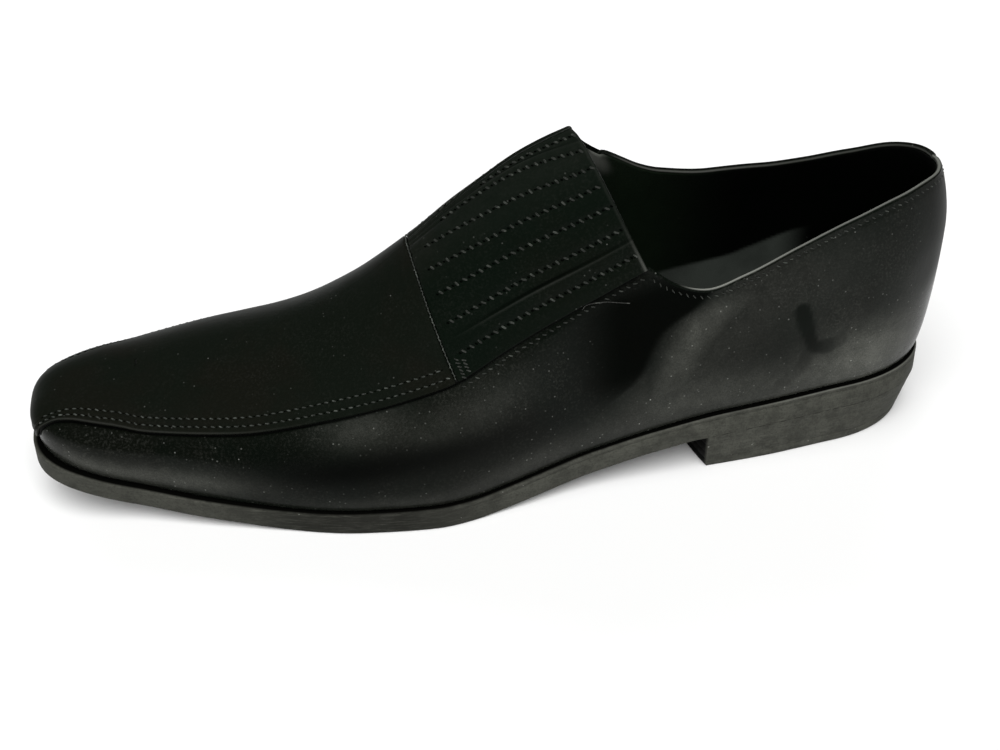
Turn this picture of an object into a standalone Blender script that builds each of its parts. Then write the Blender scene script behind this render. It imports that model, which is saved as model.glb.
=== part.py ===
"""Left leather loafer with a tucked instep panel: hollow upper, its two overlays, insole, outsole and heel.

The tables are in millimetres. Along the shoe x runs from the back of the sole (0) to the toe (LENGTH), y is
positive on the outer side of the foot and z is up from the floor. Each mesh is turned to metres as it is made,
and at the end the whole shoe is moved to stand over the origin.
"""

import bmesh
import bpy
import numpy as np
from mathutils import Matrix, Vector

MM = 0.001
LENGTH = 304.0
TOE_CAP, TOE_POWER = 30.0, 2.9
HEEL_CAP, HEEL_POWER = 34.0, 2.2
TOE_POLE, HEEL_POLE = 268.0, 36.0
GAP = 0.3
WALL = 2.0
APRON_THICKNESS = 1.0
FEATHER = 4.0
MARGIN = 10.0
INSOLE_THICKNESS = 2.2
SOLE_CHAMFER = 0.6
HEEL_LENGTH = 82.5
HEEL_UNDERCUT = 5.0
HEEL_TAPER = 0.98
BREAST_BOW = 5.0
THROAT = 0.405
CROSS_SEAM = 0.580
SEAM_BOW = 0.7
PANEL_BASE = 0.7
COLUMNS_TOE, COLUMNS_HEEL = 9, 9
ROWS_BELOW, ROWS_ABOVE = 6, 7


def table(names, *rows):
    """Columns by name from rows of numbers; a column named s is the share of the length from the heel."""
    return dict(zip(names.split(), np.array(rows, float).T))


PLAN = table(
    "s lateral medial",
    (0.00, 24.0, 24.0),
    (0.10, 27.3, 27.3),
    (0.20, 31.6, 30.0),
    (0.30, 34.0, 29.0),
    (0.40, 36.5, 28.0),
    (0.50, 43.3, 33.0),
    (0.58, 48.2, 41.0),
    (0.66, 46.2, 48.0),
    (0.74, 40.2, 49.2),
    (0.82, 33.2, 44.5),
    (0.90, 25.8, 35.5),
    (1.00, 20.5, 25.5),
)
SOLE = table(
    "s underside thickness",
    (0.00, 15.5, 8.4),
    (0.12, 15.0, 8.4),
    (0.25, 13.3, 8.4),
    (0.33, 10.2, 8.4),
    (0.40, 6.2, 8.3),
    (0.47, 2.6, 8.1),
    (0.54, 0.0, 7.9),
    (0.70, 0.0, 7.4),
    (0.80, 2.4, 6.7),
    (0.90, 6.9, 6.5),
    (0.95, 10.6, 6.8),
    (1.00, 14.0, 7.2),
)
RIDGE = table(
    "s height offset",
    (0.00, 132.0, 0.0),
    (0.12, 131.0, 0.0),
    (0.22, 129.0, 0.0),
    (0.32, 124.0, 0.0),
    (0.405, 114.2, 0.0),
    (0.46, 106.0, -1.0),
    (0.52, 92.8, -2.0),
    (0.58, 77.2, -3.0),
    (0.64, 62.7, -4.0),
    (0.70, 52.3, -5.0),
    (0.78, 45.2, -6.0),
    (0.86, 41.4, -5.0),
    (0.93, 38.4, -4.0),
    (1.00, 36.3, -3.0),
)
# Height of the widest point over the sole, how far it stands out from the sole's edge on each side, and how full
# the side and the crown are: shares of the height and of the width that the curve's handles take.
SECTION = table(
    "s widest out_lateral out_medial side_lateral crown_lateral side_medial crown_medial",
    (0.00, 48.0, 3.0, 3.0, 0.38, 0.52, 0.38, 0.52),
    (0.06, 41.0, 2.5, 2.5, 0.42, 0.47, 0.42, 0.47),
    (0.12, 29.0, 2.0, 2.0, 0.45, 0.45, 0.45, 0.45),
    (0.25, 19.0, 0.5, 2.0, 0.45, 0.48, 0.50, 0.50),
    (0.40, 17.0, 0.0, 2.0, 0.42, 0.42, 0.45, 0.42),
    (0.52, 14.0, -0.5, 1.0, 0.43, 0.36, 0.43, 0.36),
    (0.62, 12.5, -1.0, -0.5, 0.45, 0.42, 0.45, 0.42),
    (0.72, 11.0, -1.3, -1.5, 0.50, 0.52, 0.48, 0.50),
    (0.82, 10.0, -1.5, -1.8, 0.55, 0.60, 0.55, 0.60),
    (0.92, 9.5, -1.2, -1.4, 0.58, 0.62, 0.58, 0.62),
    (0.98, 9.5, -1.9, -2.1, 0.60, 0.64, 0.60, 0.64),
    (1.00, 9.5, -1.7, -1.7, 0.62, 0.66, 0.62, 0.66),
)
TOPLINE = {
    1: table(
        "s height",
        (0.00, 93.5),
        (0.03, 94.3),
        (0.07, 92.6),
        (0.12, 88.0),
        (0.185, 80.6),
        (0.24, 73.6),
        (0.28, 70.2),
        (0.315, 72.8),
        (0.344, 78.0),
    ),
    -1: table(
        "s height",
        (0.00, 93.5),
        (0.03, 90.2),
        (0.07, 85.4),
        (0.12, 82.8),
        (0.17, 81.4),
        (0.23, 81.4),
        (0.29, 84.6),
        (0.335, 91.2),
        (0.360, 95.5),
    ),
}
# The share of a rib, from the sole to the ridge, at which the toe seam and then the panel's edge cross it.
SEAM = table(
    "s lateral medial",
    (0.340, 0.532, 0.720),
    (0.360, 0.523, 0.718),
    (0.420, 0.497, 0.600),
    (0.500, 0.463, 0.500),
    (0.560, 0.436, 0.440),
    (0.680, 0.434, 0.434),
    (0.780, 0.405, 0.405),
    (0.860, 0.425, 0.425),
    (0.910, 0.455, 0.455),
    (0.956, 0.415, 0.415),
    (0.978, 0.350, 0.350),
    (0.989, 0.240, 0.240),
    (0.995, 0.120, 0.120),
    (1.000, 0.090, 0.090),
)
# How far back from the ridge a column's foot lies, so that columns follow the throat and the cross seam.
LEAN = table(
    "s lateral medial",
    (0.405, 18.5, 13.6),
    (0.580, 9.5, 9.5),
    (0.700, 0.0, 0.0),
    (1.000, 0.0, 0.0),
)
# The panel's stitch rows, as shares of the way from its low edge to the ridge at its front, middle and back, and how
# high the fold over each row stands.
TUCKS = table(
    "front middle back rise",
    (0.150, 0.124, 0.120, 0.9),
    (0.345, 0.308, 0.297, 0.5),
    (0.535, 0.475, 0.450, 0.5),
    (0.710, 0.618, 0.588, 0.5),
    (0.870, 0.765, 0.705, 0.5),
    (0.950, 0.912, 0.820, 0.8),
    (0.980, 0.970, 0.940, 0.3),
)


def curve(columns, name, s):
    """A smooth curve through a table's rows that never overshoots them, so a level run stays level."""
    xs, ys = columns["s"], columns[name]
    step = np.diff(xs)
    rate = np.diff(ys) / step
    slope = np.concatenate([rate[:1], np.zeros(len(xs) - 2), rate[-1:]])
    for i in range(1, len(xs) - 1):
        if rate[i - 1] * rate[i] > 0:
            near, far = 2 * step[i] + step[i - 1], step[i] + 2 * step[i - 1]
            slope[i] = (near + far) / (near / rate[i - 1] + far / rate[i])
    s = np.clip(s, xs[0], xs[-1])
    k = np.clip(np.searchsorted(xs, s, side="right") - 1, 0, len(step) - 1)
    t = (s - xs[k]) / step[k]
    start = (1 + 2 * t) * (1 - t) ** 2 * ys[k] + t * (1 - t) ** 2 * step[k] * slope[k]
    end = t**2 * (3 - 2 * t) * ys[k + 1] - t**2 * (1 - t) * step[k] * slope[k + 1]
    return start + end


def side_name(side):
    return "lateral" if side > 0 else "medial"


def centre(x):
    return (curve(PLAN, "lateral", x / LENGTH) - curve(PLAN, "medial", x / LENGTH)) / 2


def edge(side, x):
    """The sole's edge on one side: the plan table's width, closed by rounded ends."""
    toe = np.clip((x - LENGTH + TOE_CAP) / TOE_CAP, 0, 1)
    heel = np.clip((HEEL_CAP - x) / HEEL_CAP, 0, 1)
    ends = (1 - toe**TOE_POWER) ** (1 / TOE_POWER) * (1 - heel**HEEL_POWER) ** (1 / HEEL_POWER)
    half = (curve(PLAN, "lateral", x / LENGTH) + curve(PLAN, "medial", x / LENGTH)) / 2
    return centre(x) + side * half * ends


def sole_top(x):
    return curve(SOLE, "underside", x / LENGTH) + curve(SOLE, "thickness", x / LENGTH)


def ends(side):
    """Points of the sole's edge round the toe and round the heel, evenly spaced, toe tip first and heel back last."""
    x = LENGTH / 2 * (1 + np.cos(np.linspace(0, np.pi, 1201)))
    points = np.column_stack([x, edge(side, x)])
    run = np.concatenate([[0], np.cumsum(np.linalg.norm(np.diff(points, axis=0), axis=1))])
    to_toe, to_heel = np.interp([-TOE_POLE, -HEEL_POLE], -x, run)

    def at(distances):
        return np.column_stack([np.interp(distances, run, points[:, i]) for i in range(2)])

    toe = at(np.linspace(0, to_toe, COLUMNS_TOE + 1)[:-1])
    heel = at(np.linspace(to_heel, run[-1], COLUMNS_HEEL + 1)[1:])
    return toe, heel


def spine(x):
    """The point on the ridge that the rib through x runs to."""
    x = np.clip(x, HEEL_POLE, TOE_POLE)
    return np.array([x, curve(RIDGE, "offset", x / LENGTH), curve(RIDGE, "height", x / LENGTH)])


def bezier(points, count):
    t = np.linspace(0, 1, count)[:, None]
    a, b, c, d = np.array(points, float)
    return (1 - t) ** 3 * a + 3 * (1 - t) ** 2 * t * b + 3 * (1 - t) * t**2 * c + t**3 * d


def rib(side, x, y=None):
    """One rib of the upper's outside, from the feather edge up over its widest point to the ridge."""
    y = edge(side, x) if y is None else y
    top = spine(x)
    reach = np.hypot(x - top[0], y - top[1])
    out = np.array([x - top[0], y - top[1]]) / reach
    s = x / LENGTH
    outer = (1 + out[1]) / 2

    def blend(name):
        lateral, medial = curve(SECTION, name + "_lateral", s), curve(SECTION, name + "_medial", s)
        return outer * lateral + (1 - outer) * medial

    low = sole_top(x - FEATHER * out[0]) + GAP
    wide = low + curve(SECTION, "widest", s)
    feather, widest = reach - FEATHER, reach + blend("out")
    step = 0.001
    fall = (spine(top[0] + step)[2] - spine(top[0] - step)[2]) / (2 * step)
    crown = blend("crown") * widest
    lower = bezier(
        (
            (feather, low),
            (feather + 0.55 * (widest - feather), low),
            (widest, wide - 0.5 * (wide - low)),
            (widest, wide),
        ),
        40,
    )
    upper = bezier(
        (
            (widest, wide),
            (widest, wide + blend("side") * (top[2] - wide)),
            (crown, top[2] + fall * out[0] * crown),
            (0, top[2]),
        ),
        80,
    )
    profile = np.concatenate([lower, upper[1:]])
    return np.column_stack([top[:2] + profile[:, :1] * out, profile[:, 1]])


def along(points, shares):
    """Points at these shares of a line's length."""
    run = np.concatenate([[0], np.cumsum(np.linalg.norm(np.diff(points, axis=0), axis=1))])
    return np.column_stack([np.interp(shares, run / run[-1], points[:, i]) for i in range(3)])


def surface(side, x, share):
    return along(rib(side, x), [share])[0]


def normal(side, x, share):
    """The upper's outward direction at a point of its function."""
    across = surface(side, x, share + 0.01) - surface(side, x, share - 0.01)
    forward = surface(side, x + 0.5, share) - surface(side, x - 0.5, share)
    found = np.cross(across, forward) * side
    return found / np.linalg.norm(found)


def topline_share(side, x, points):
    """The share of a rib at which it reaches the topline."""
    run = np.concatenate([[0], np.cumsum(np.linalg.norm(np.diff(points, axis=0), axis=1))])
    return np.interp(curve(TOPLINE[side], "height", x / LENGTH), points[:, 2], run / run[-1])


def foot(side, ridge_x):
    return ridge_x - curve(LEAN, side_name(side), ridge_x / LENGTH)


def leaning(side, ridge_x, rise):
    """x and rib share at a share of the way from the seam to the ridge, along a column that leans forward."""
    x = foot(side, ridge_x)
    seam = curve(SEAM, side_name(side), x / LENGTH)
    return x + (ridge_x - x) * (rise + SEAM_BOW * rise * (1 - rise)), seam + (1 - seam) * rise


def below_seam(side, x, y, share):
    """A column from the lasting margin's inner edge out to the feather and up to a share of the rib."""
    points = rib(side, x, y)
    inward = spine(x)[:2] - points[0, :2]
    inner = points[0, :2] + inward / np.linalg.norm(inward) * MARGIN
    inner = np.append(inner, sole_top(inner[0]) + GAP)
    shares = share * (np.arange(ROWS_BELOW + 1) / ROWS_BELOW) ** 1.45
    return np.vstack([inner, along(points, shares)])


def ridge_stations(start, end, step):
    return np.linspace(start, end, max(2, round((start - end) / step) + 1))


def forepart(side, ridge_xs):
    """Columns over the seam, for ribs round the toe and then for the ridge stations given."""
    rises = np.linspace(0, 1, ROWS_ABOVE + 1)
    columns = []
    for x, y in ends(side)[0]:
        seam = curve(SEAM, side_name(side), x / LENGTH)
        columns.append(along(rib(side, x, y), seam + (1 - seam) * rises))
    for ridge_x in ridge_xs:
        columns.append(np.array([surface(side, *leaning(side, ridge_x, rise)) for rise in rises]))
    return columns


def quads(columns):
    """Four-cornered faces between neighbouring columns of the same number of points."""
    grid = np.array(columns)
    corners = grid[:-1, :-1], grid[1:, :-1], grid[1:, 1:], grid[:-1, 1:]
    return np.stack(corners, axis=2).reshape(-1, 4, 3)


def add_piece(name, faces, colour, roughness):
    """An object from faces given by their corners, in millimetres; corners in the same place are one point."""
    points, index, polygons = [], {}, []
    for face in faces:
        polygon = []
        for corner in face:
            key = tuple(np.round(corner, 4))
            if key not in index:
                index[key] = len(points)
                points.append(np.array(corner) * MM)
            if index[key] not in polygon:
                polygon.append(index[key])
        if len(polygon) > 2:
            polygons.append(polygon)
    mesh = bpy.data.meshes.new(name)
    mesh.from_pydata(points, [], polygons)
    shape = bmesh.new()
    shape.from_mesh(mesh)
    bmesh.ops.recalc_face_normals(shape, faces=shape.faces)
    shape.to_mesh(mesh)
    shape.free()
    obj = bpy.data.objects.new(name, mesh)
    shoe.objects.link(obj)
    material = bpy.data.materials.new(name + "_finish")
    material.use_nodes = True
    shader = material.node_tree.nodes["Principled BSDF"]
    shader.inputs["Base Color"].default_value = (*colour, 1)
    shader.inputs["Roughness"].default_value = roughness
    mesh.materials.append(material)
    return obj


def thicken(obj, thickness):
    shell = obj.modifiers.new("wall", "SOLIDIFY")
    shell.thickness = thickness * MM
    shell.offset = -1
    shell.use_even_offset = True
    shell.use_quality_normals = True


def outward(side, faces):
    return [face if side > 0 else face[::-1] for face in faces]


def add_upper():
    """The whole upper as one sheet on its outside, thickened inward."""
    faces = []
    vamp = ridge_stations(TOE_POLE, CROSS_SEAM * LENGTH, 9.5)
    instep = ridge_stations(CROSS_SEAM * LENGTH, THROAT * LENGTH, 9)[1:]
    ridge_xs = np.concatenate([vamp, instep])
    for side in (1, -1):
        toe, heel = ends(side)
        columns = []
        for x, y in toe:
            columns.append(below_seam(side, x, y, curve(SEAM, side_name(side), x / LENGTH)))
        for ridge_x in ridge_xs:
            x = foot(side, ridge_x)
            columns.append(below_seam(side, x, None, curve(SEAM, side_name(side), x / LENGTH)))
        for x in ridge_stations(foot(side, THROAT * LENGTH), HEEL_POLE, 8)[1:]:
            columns.append(below_seam(side, x, None, topline_share(side, x, rib(side, x))))
        for x, y in heel:
            columns.append(below_seam(side, x, y, topline_share(side, x, rib(side, x, y))))
        faces += outward(side, quads(columns))
        faces += outward(side, quads(forepart(side, ridge_xs)))
    thicken(add_piece("upper", faces, (0.012, 0.014, 0.012), 0.35), WALL)


def add_apron():
    """The vamp's apron, lifted off the upper's own function between the toe seams and the cross seam."""
    faces = []
    ridge_xs = ridge_stations(TOE_POLE, CROSS_SEAM * LENGTH + GAP / 2, 9.5)
    for side in (1, -1):
        faces += outward(side, quads(forepart(side, ridge_xs)))
    apron = add_piece("vamp_apron", faces, (0.012, 0.014, 0.012), 0.3)
    lift = apron.modifiers.new("lift", "DISPLACE")
    lift.mid_level = 0
    lift.strength = (GAP + APRON_THICKNESS) * MM
    thicken(apron, APRON_THICKNESS)


def tuck_rows(back):
    """Shares of the way up the panel and the height there, at a share of the way back along it.

    Each tuck rises from its stitch row to its fold and drops to the next row.
    """
    starts = (1 - back) * (1 - 2 * back) * TUCKS["front"]
    starts += 4 * back * (1 - back) * TUCKS["middle"] + back * (2 * back - 1) * TUCKS["back"]
    rows = [(0.012, PANEL_BASE)]
    for start, end, rise in zip(starts, np.append(starts[1:], 1), TUCKS["rise"]):
        rows.append((start, PANEL_BASE))
        rows.append((start + 0.50 * (end - start), PANEL_BASE + rise))
        rows.append((start + 0.68 * (end - start), PANEL_BASE + 0.25 * rise))
    return rows + [(0.997, PANEL_BASE)]


def add_panel():
    """The tucked panel over the instep: flat below, in folds above."""
    columns = ridge_stations(CROSS_SEAM * LENGTH - GAP, THROAT * LENGTH + 1, 7)
    layers = {"under": [], "over": []}
    for back, ridge_x in zip(np.linspace(0, 1, len(columns)), columns):
        under, over = [], []
        rows = tuck_rows(back)
        for side in (1, -1):
            for rise, height in rows if side > 0 else rows[::-1]:
                x, share = leaning(side, ridge_x, rise)
                point, away = surface(side, x, share), normal(side, x, share)
                under.append(point + GAP * away)
                over.append(point + (GAP + height) * away)
        layers["under"].append(under)
        layers["over"].append(over)
    under, over = np.array(layers["under"]), np.array(layers["over"])
    faces = list(quads(over)) + [face[::-1] for face in quads(under)]
    faces += list(quads([under[:, 0], over[:, 0]])) + list(quads([over[:, -1], under[:, -1]]))
    faces += list(quads([over[0], under[0]])) + list(quads([under[-1], over[-1]]))
    add_piece("instep_panel", faces, (0.014, 0.016, 0.014), 0.4)


def stations(side):
    """The sole's edge all along one side, with matching stations on the other."""
    toe, heel = ends(side)
    xs = ridge_stations(TOE_POLE, HEEL_POLE, 7.5)
    xs[np.argmin(abs(xs - 0.54 * LENGTH))] = 0.54 * LENGTH
    xs[np.argmin(abs(xs - 0.70 * LENGTH))] = 0.70 * LENGTH
    return np.vstack([toe, np.column_stack([xs, edge(side, xs)]), heel])


def drawn_in(points, inset):
    """Edge points moved in along their ribs."""
    moved = []
    for x, y in points:
        inward = spine(x)[:2] - np.array([x, y])
        moved.append(np.array([x, y]) + inward / np.linalg.norm(inward) * inset)
    return np.array(moved)


def plate(levels):
    """Faces of a solid from outlines one above another, each as its two sides from the front to the back."""
    faces = []
    for low, high in zip(levels, levels[1:]):
        faces += list(quads([high[0], low[0]])) + list(quads([low[1], high[1]]))
    faces += list(quads([levels[0][0], levels[0][1]]))
    faces += list(quads([levels[-1][1], levels[-1][0]]))
    return faces


def level(inset, height):
    """The sole's outline drawn in, at a height worked out from x."""
    sides = []
    for side in (1, -1):
        points = drawn_in(stations(side), inset)
        sides.append(np.column_stack([points, height(points[:, 0])]))
    return sides


def underside(x):
    return curve(SOLE, "underside", x / LENGTH)


def add_sole():
    levels = [
        level(SOLE_CHAMFER, underside),
        level(0, lambda x: underside(x) + SOLE_CHAMFER),
        level(0, lambda x: sole_top(x) - SOLE_CHAMFER),
        level(SOLE_CHAMFER, sole_top),
    ]
    add_piece("outsole", plate(levels), (0.035, 0.036, 0.034), 0.6)


def add_insole():
    """A board on the lasting margin, with a filling between the margins under it."""
    seat = GAP + WALL + GAP
    levels = [
        level(FEATHER + MARGIN + 2 * GAP, lambda x: sole_top(x) + GAP),
        level(FEATHER + MARGIN + 2 * GAP, lambda x: sole_top(x) + seat),
        level(FEATHER + 2.0, lambda x: sole_top(x) + seat),
        level(FEATHER + 0.7, lambda x: sole_top(x) + seat + INSOLE_THICKNESS),
    ]
    add_piece("insole", plate(levels), (0.045, 0.045, 0.045), 0.7)


def heel_outline(side):
    """The heel's top outline: half of the bowed breast, then the sole's edge to the back."""
    corner = edge(side, HEEL_LENGTH) - side * SOLE_CHAMFER
    across = np.linspace(0, 1, 5)[:-1]
    breast = np.column_stack([HEEL_LENGTH + BREAST_BOW * (1 - across**2), centre(HEEL_LENGTH) * (1 - across)])
    breast[:, 1] += corner * across
    xs = np.linspace(HEEL_LENGTH, HEEL_POLE, 8)
    rest = np.vstack([np.column_stack([xs, edge(side, xs)]), ends(side)[1]])
    return np.vstack([breast, drawn_in(rest, SOLE_CHAMFER)])


def add_heel():
    top, bottom, floor = [], [], []
    for side in (1, -1):
        points = heel_outline(side)
        top.append(np.column_stack([points, underside(points[:, 0]) - GAP]))
        share = (HEEL_LENGTH - points[:, 0]) / HEEL_LENGTH
        lower = np.column_stack([points[:, 0] + HEEL_UNDERCUT * np.clip(share, 0, 1), points[:, 1] * HEEL_TAPER])
        bottom.append(np.column_stack([lower, np.full(len(lower), SOLE_CHAMFER)]))
        inner = np.array([0.5 * HEEL_LENGTH, 0]) + (lower - [0.5 * HEEL_LENGTH, 0]) * 0.985
        floor.append(np.column_stack([inner, np.zeros(len(inner))]))
    add_piece("heel", plate([floor, bottom, top]), (0.035, 0.036, 0.034), 0.6)


def stand_over_origin():
    """Moves every piece alike, so that the shoe's box stands over the origin on z = 0."""
    bpy.context.view_layer.update()
    graph = bpy.context.evaluated_depsgraph_get()
    corners = [Vector(corner) for obj in shoe.objects for corner in obj.evaluated_get(graph).bound_box]
    low = [min(corner[i] for corner in corners) for i in range(3)]
    high = [max(corner[i] for corner in corners) for i in range(3)]
    shift = Matrix.Translation((-(low[0] + high[0]) / 2, -(low[1] + high[1]) / 2, -low[2]))
    for obj in shoe.objects:
        obj.data.transform(shift)


for old in list(bpy.data.objects):
    bpy.data.objects.remove(old)
shoe = bpy.data.collections.new("leather_loafer")
bpy.context.scene.collection.children.link(shoe)
add_sole()
add_heel()
add_insole()
add_upper()
add_apron()
add_panel()
stand_over_origin()
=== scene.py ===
import bmesh
import bpy
import numpy as np
from mathutils import Matrix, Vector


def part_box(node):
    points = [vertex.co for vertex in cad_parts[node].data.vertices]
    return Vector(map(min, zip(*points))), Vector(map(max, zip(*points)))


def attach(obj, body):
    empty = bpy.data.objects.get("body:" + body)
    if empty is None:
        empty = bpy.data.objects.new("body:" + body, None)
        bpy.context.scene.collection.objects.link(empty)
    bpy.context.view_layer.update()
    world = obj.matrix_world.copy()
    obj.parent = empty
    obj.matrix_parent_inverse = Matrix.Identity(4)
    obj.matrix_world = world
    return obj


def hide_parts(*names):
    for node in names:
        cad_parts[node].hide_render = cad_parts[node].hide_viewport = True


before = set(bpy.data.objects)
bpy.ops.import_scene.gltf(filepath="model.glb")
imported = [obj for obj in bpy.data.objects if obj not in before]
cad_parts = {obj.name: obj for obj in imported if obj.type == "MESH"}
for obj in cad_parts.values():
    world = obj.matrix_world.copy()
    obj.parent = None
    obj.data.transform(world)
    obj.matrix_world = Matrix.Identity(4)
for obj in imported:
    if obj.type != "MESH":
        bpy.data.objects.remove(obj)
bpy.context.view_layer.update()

# Shapes are worked out in millimetres in the last's own frame, as in the part's source: x from the back of
# the sole to the toe, y to the outer side of the foot, z up from the floor. new_mesh moves them to the
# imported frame. A side is 1 for the outer side of the foot and -1 for the inner one.
MM = 0.001
LENGTH = 304.0
# The sole's rounded ends, how square they are, and the places from which the ribs fan out to them.
TOE_CAP, TOE_POWER = 30.0, 2.9
HEEL_CAP, HEEL_POWER = 34.0, 2.2
TOE_POLE, HEEL_POLE = 268.0, 36.0
# The clearance between solids, and the upper's wall and lasting margin.
GAP = 0.3
WALL = 2.0
MARGIN = 10.0
INSOLE_THICKNESS = 2.2
HEEL_LENGTH = 82.5
HEEL_UNDERCUT = 5.0
HEEL_TAPER = 0.98
BREAST_BOW = 5.0
# Where the throat and the cross seam meet the ridge, and how strongly each bows.
THROAT_X, CROSS_X = 0.405 * LENGTH, 0.580 * LENGTH
THROAT_BOW = {1: 0.16, -1: 0.9}
CROSS_BOW = 0.7
# The length over which the topline's front end turns into the panel's back edge.
TOPLINE_TURN = 14.0


def table(names, *rows):
    """Columns by name from rows of numbers; a column named s is the share of the length from the heel."""
    return dict(zip(names.split(), np.array(rows, float).T))


OUTER = table(
    "s plan",
    (0.00, 24.0), (0.10, 27.3), (0.20, 31.6), (0.30, 34.0), (0.40, 36.5), (0.50, 43.3),
    (0.58, 48.2), (0.66, 46.2), (0.74, 40.2), (0.82, 33.2), (0.90, 25.8), (1.00, 20.5),
)
INNER = table(
    "s plan",
    (0.00, 24.0), (0.10, 27.3), (0.20, 30.0), (0.30, 29.0), (0.40, 28.0), (0.50, 33.0),
    (0.58, 41.0), (0.62, 44.8), (0.66, 47.6), (0.70, 49.0), (0.74, 49.1), (0.78, 47.5),
    (0.82, 44.4), (0.86, 40.2), (0.90, 35.5), (1.00, 25.5),
)
SOLE = table(
    "s underside thickness",
    (0.00, 15.5, 8.4), (0.12, 15.0, 8.4), (0.25, 13.3, 8.4), (0.33, 10.2, 8.4),
    (0.40, 6.2, 8.3), (0.47, 2.6, 8.1), (0.54, 0.0, 7.9), (0.70, 0.0, 7.4),
    (0.80, 2.4, 6.7), (0.90, 6.9, 6.5), (0.95, 10.6, 6.8), (1.00, 14.0, 7.2),
)
RIDGE = table(
    "s height offset",
    (0.00, 132.0, 0.0), (0.12, 131.0, 0.0), (0.22, 129.0, 0.0), (0.32, 124.0, 0.0), (0.405, 114.2, 0.0),
    (0.46, 106.0, -1.0), (0.52, 92.8, -2.0), (0.58, 77.2, -3.0), (0.64, 62.7, -4.0), (0.70, 52.3, -5.0),
    (0.78, 45.2, -6.0), (0.86, 41.4, -5.0), (0.93, 38.4, -4.0), (1.00, 36.3, -3.0),
)
SECTION = table(
    "s widest out_lateral out_medial side_lateral crown_lateral side_medial crown_medial",
    (0.00, 48.0, 3.0, 3.0, 0.38, 0.52, 0.38, 0.52),
    (0.06, 41.0, 2.5, 2.5, 0.42, 0.47, 0.42, 0.47),
    (0.12, 29.0, 2.0, 2.0, 0.45, 0.45, 0.45, 0.45),
    (0.25, 19.0, 0.5, 2.0, 0.45, 0.48, 0.50, 0.50),
    (0.40, 17.0, 0.0, 2.0, 0.42, 0.42, 0.45, 0.42),
    (0.52, 10.0, -0.5, 1.0, 0.36, 0.42, 0.40, 0.38),
    (0.62, 7.5, -1.0, -0.5, 0.34, 0.50, 0.40, 0.45),
    (0.72, 7.5, -1.3, -1.5, 0.42, 0.56, 0.45, 0.52),
    (0.82, 9.0, -1.5, -1.8, 0.53, 0.61, 0.55, 0.60),
    (0.92, 9.5, -1.2, -1.4, 0.58, 0.62, 0.58, 0.62),
    (0.98, 9.5, -1.9, -2.1, 0.60, 0.64, 0.60, 0.64),
    (1.00, 9.5, -1.7, -1.7, 0.62, 0.66, 0.62, 0.66),
)
TOPLINE = {
    1: table(
        "s height",
        (0.00, 93.5), (0.03, 94.3), (0.07, 92.6), (0.12, 88.0), (0.185, 80.6),
        (0.24, 73.6), (0.28, 70.2), (0.315, 72.8), (0.344, 78.0),
    ),
    -1: table(
        "s height",
        (0.00, 93.5), (0.03, 90.2), (0.07, 85.4), (0.12, 82.8), (0.17, 81.4),
        (0.23, 81.4), (0.29, 84.6), (0.335, 91.2), (0.360, 95.5),
    ),
}
SEAM = table(
    "s lateral medial",
    (0.340, 0.532, 0.720), (0.360, 0.523, 0.718), (0.420, 0.497, 0.600), (0.500, 0.463, 0.500),
    (0.560, 0.436, 0.440), (0.680, 0.434, 0.434), (0.780, 0.405, 0.405), (0.860, 0.425, 0.425),
    (0.910, 0.455, 0.455), (0.956, 0.415, 0.415), (0.978, 0.350, 0.350), (0.989, 0.240, 0.240),
    (0.995, 0.120, 0.120), (1.000, 0.090, 0.090),
)
FEATHER = table("s inset", (0.00, 2.2), (0.72, 2.4), (0.88, 3.3), (1.00, 3.7))
LEAN = table("s lateral medial", (0.405, 18.5, 13.6), (0.58, 9.5, 9.5), (0.7, 0.0, 0.0), (1.0, 0.0, 0.0))
# The panel's stitch rows: shares of the way up it at its front, middle and back.
TUCKS = table(
    "front middle back",
    (0.150, 0.124, 0.120), (0.345, 0.308, 0.297), (0.535, 0.475, 0.450), (0.710, 0.618, 0.588),
    (0.870, 0.765, 0.705), (0.950, 0.912, 0.820), (0.980, 0.970, 0.940),
)
SLOPES = {}


def slopes(columns, name):
    """The slope of a table's curve at each row, chosen so that the curve never overshoots the rows."""
    key = id(columns), name
    if key not in SLOPES:
        step = np.diff(columns["s"])
        rate = np.diff(columns[name]) / step
        slope = np.concatenate([rate[:1], np.zeros(len(step) - 1), rate[-1:]])
        for i in range(1, len(step)):
            if rate[i - 1] * rate[i] > 0:
                near, far = 2 * step[i] + step[i - 1], step[i] + 2 * step[i - 1]
                slope[i] = (near + far) / (near / rate[i - 1] + far / rate[i])
        SLOPES[key] = slope
    return SLOPES[key]


def curve(columns, name, s):
    """A smooth curve through a table's column."""
    xs, ys, slope = columns["s"], columns[name], slopes(columns, name)
    step = np.diff(xs)
    s = np.clip(s, xs[0], xs[-1])
    k = np.clip(np.searchsorted(xs, s, side="right") - 1, 0, len(step) - 1)
    t = (s - xs[k]) / step[k]
    start = (1 + 2 * t) * (1 - t) ** 2 * ys[k] + t * (1 - t) ** 2 * step[k] * slope[k]
    end = t**2 * (3 - 2 * t) * ys[k + 1] - t**2 * (1 - t) * step[k] * slope[k + 1]
    return start + end


def at_x(columns, name, x):
    return curve(columns, name, x / LENGTH)


def side_name(side):
    return "lateral" if side > 0 else "medial"


def centre(x):
    return (at_x(OUTER, "plan", x) - at_x(INNER, "plan", x)) / 2


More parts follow.
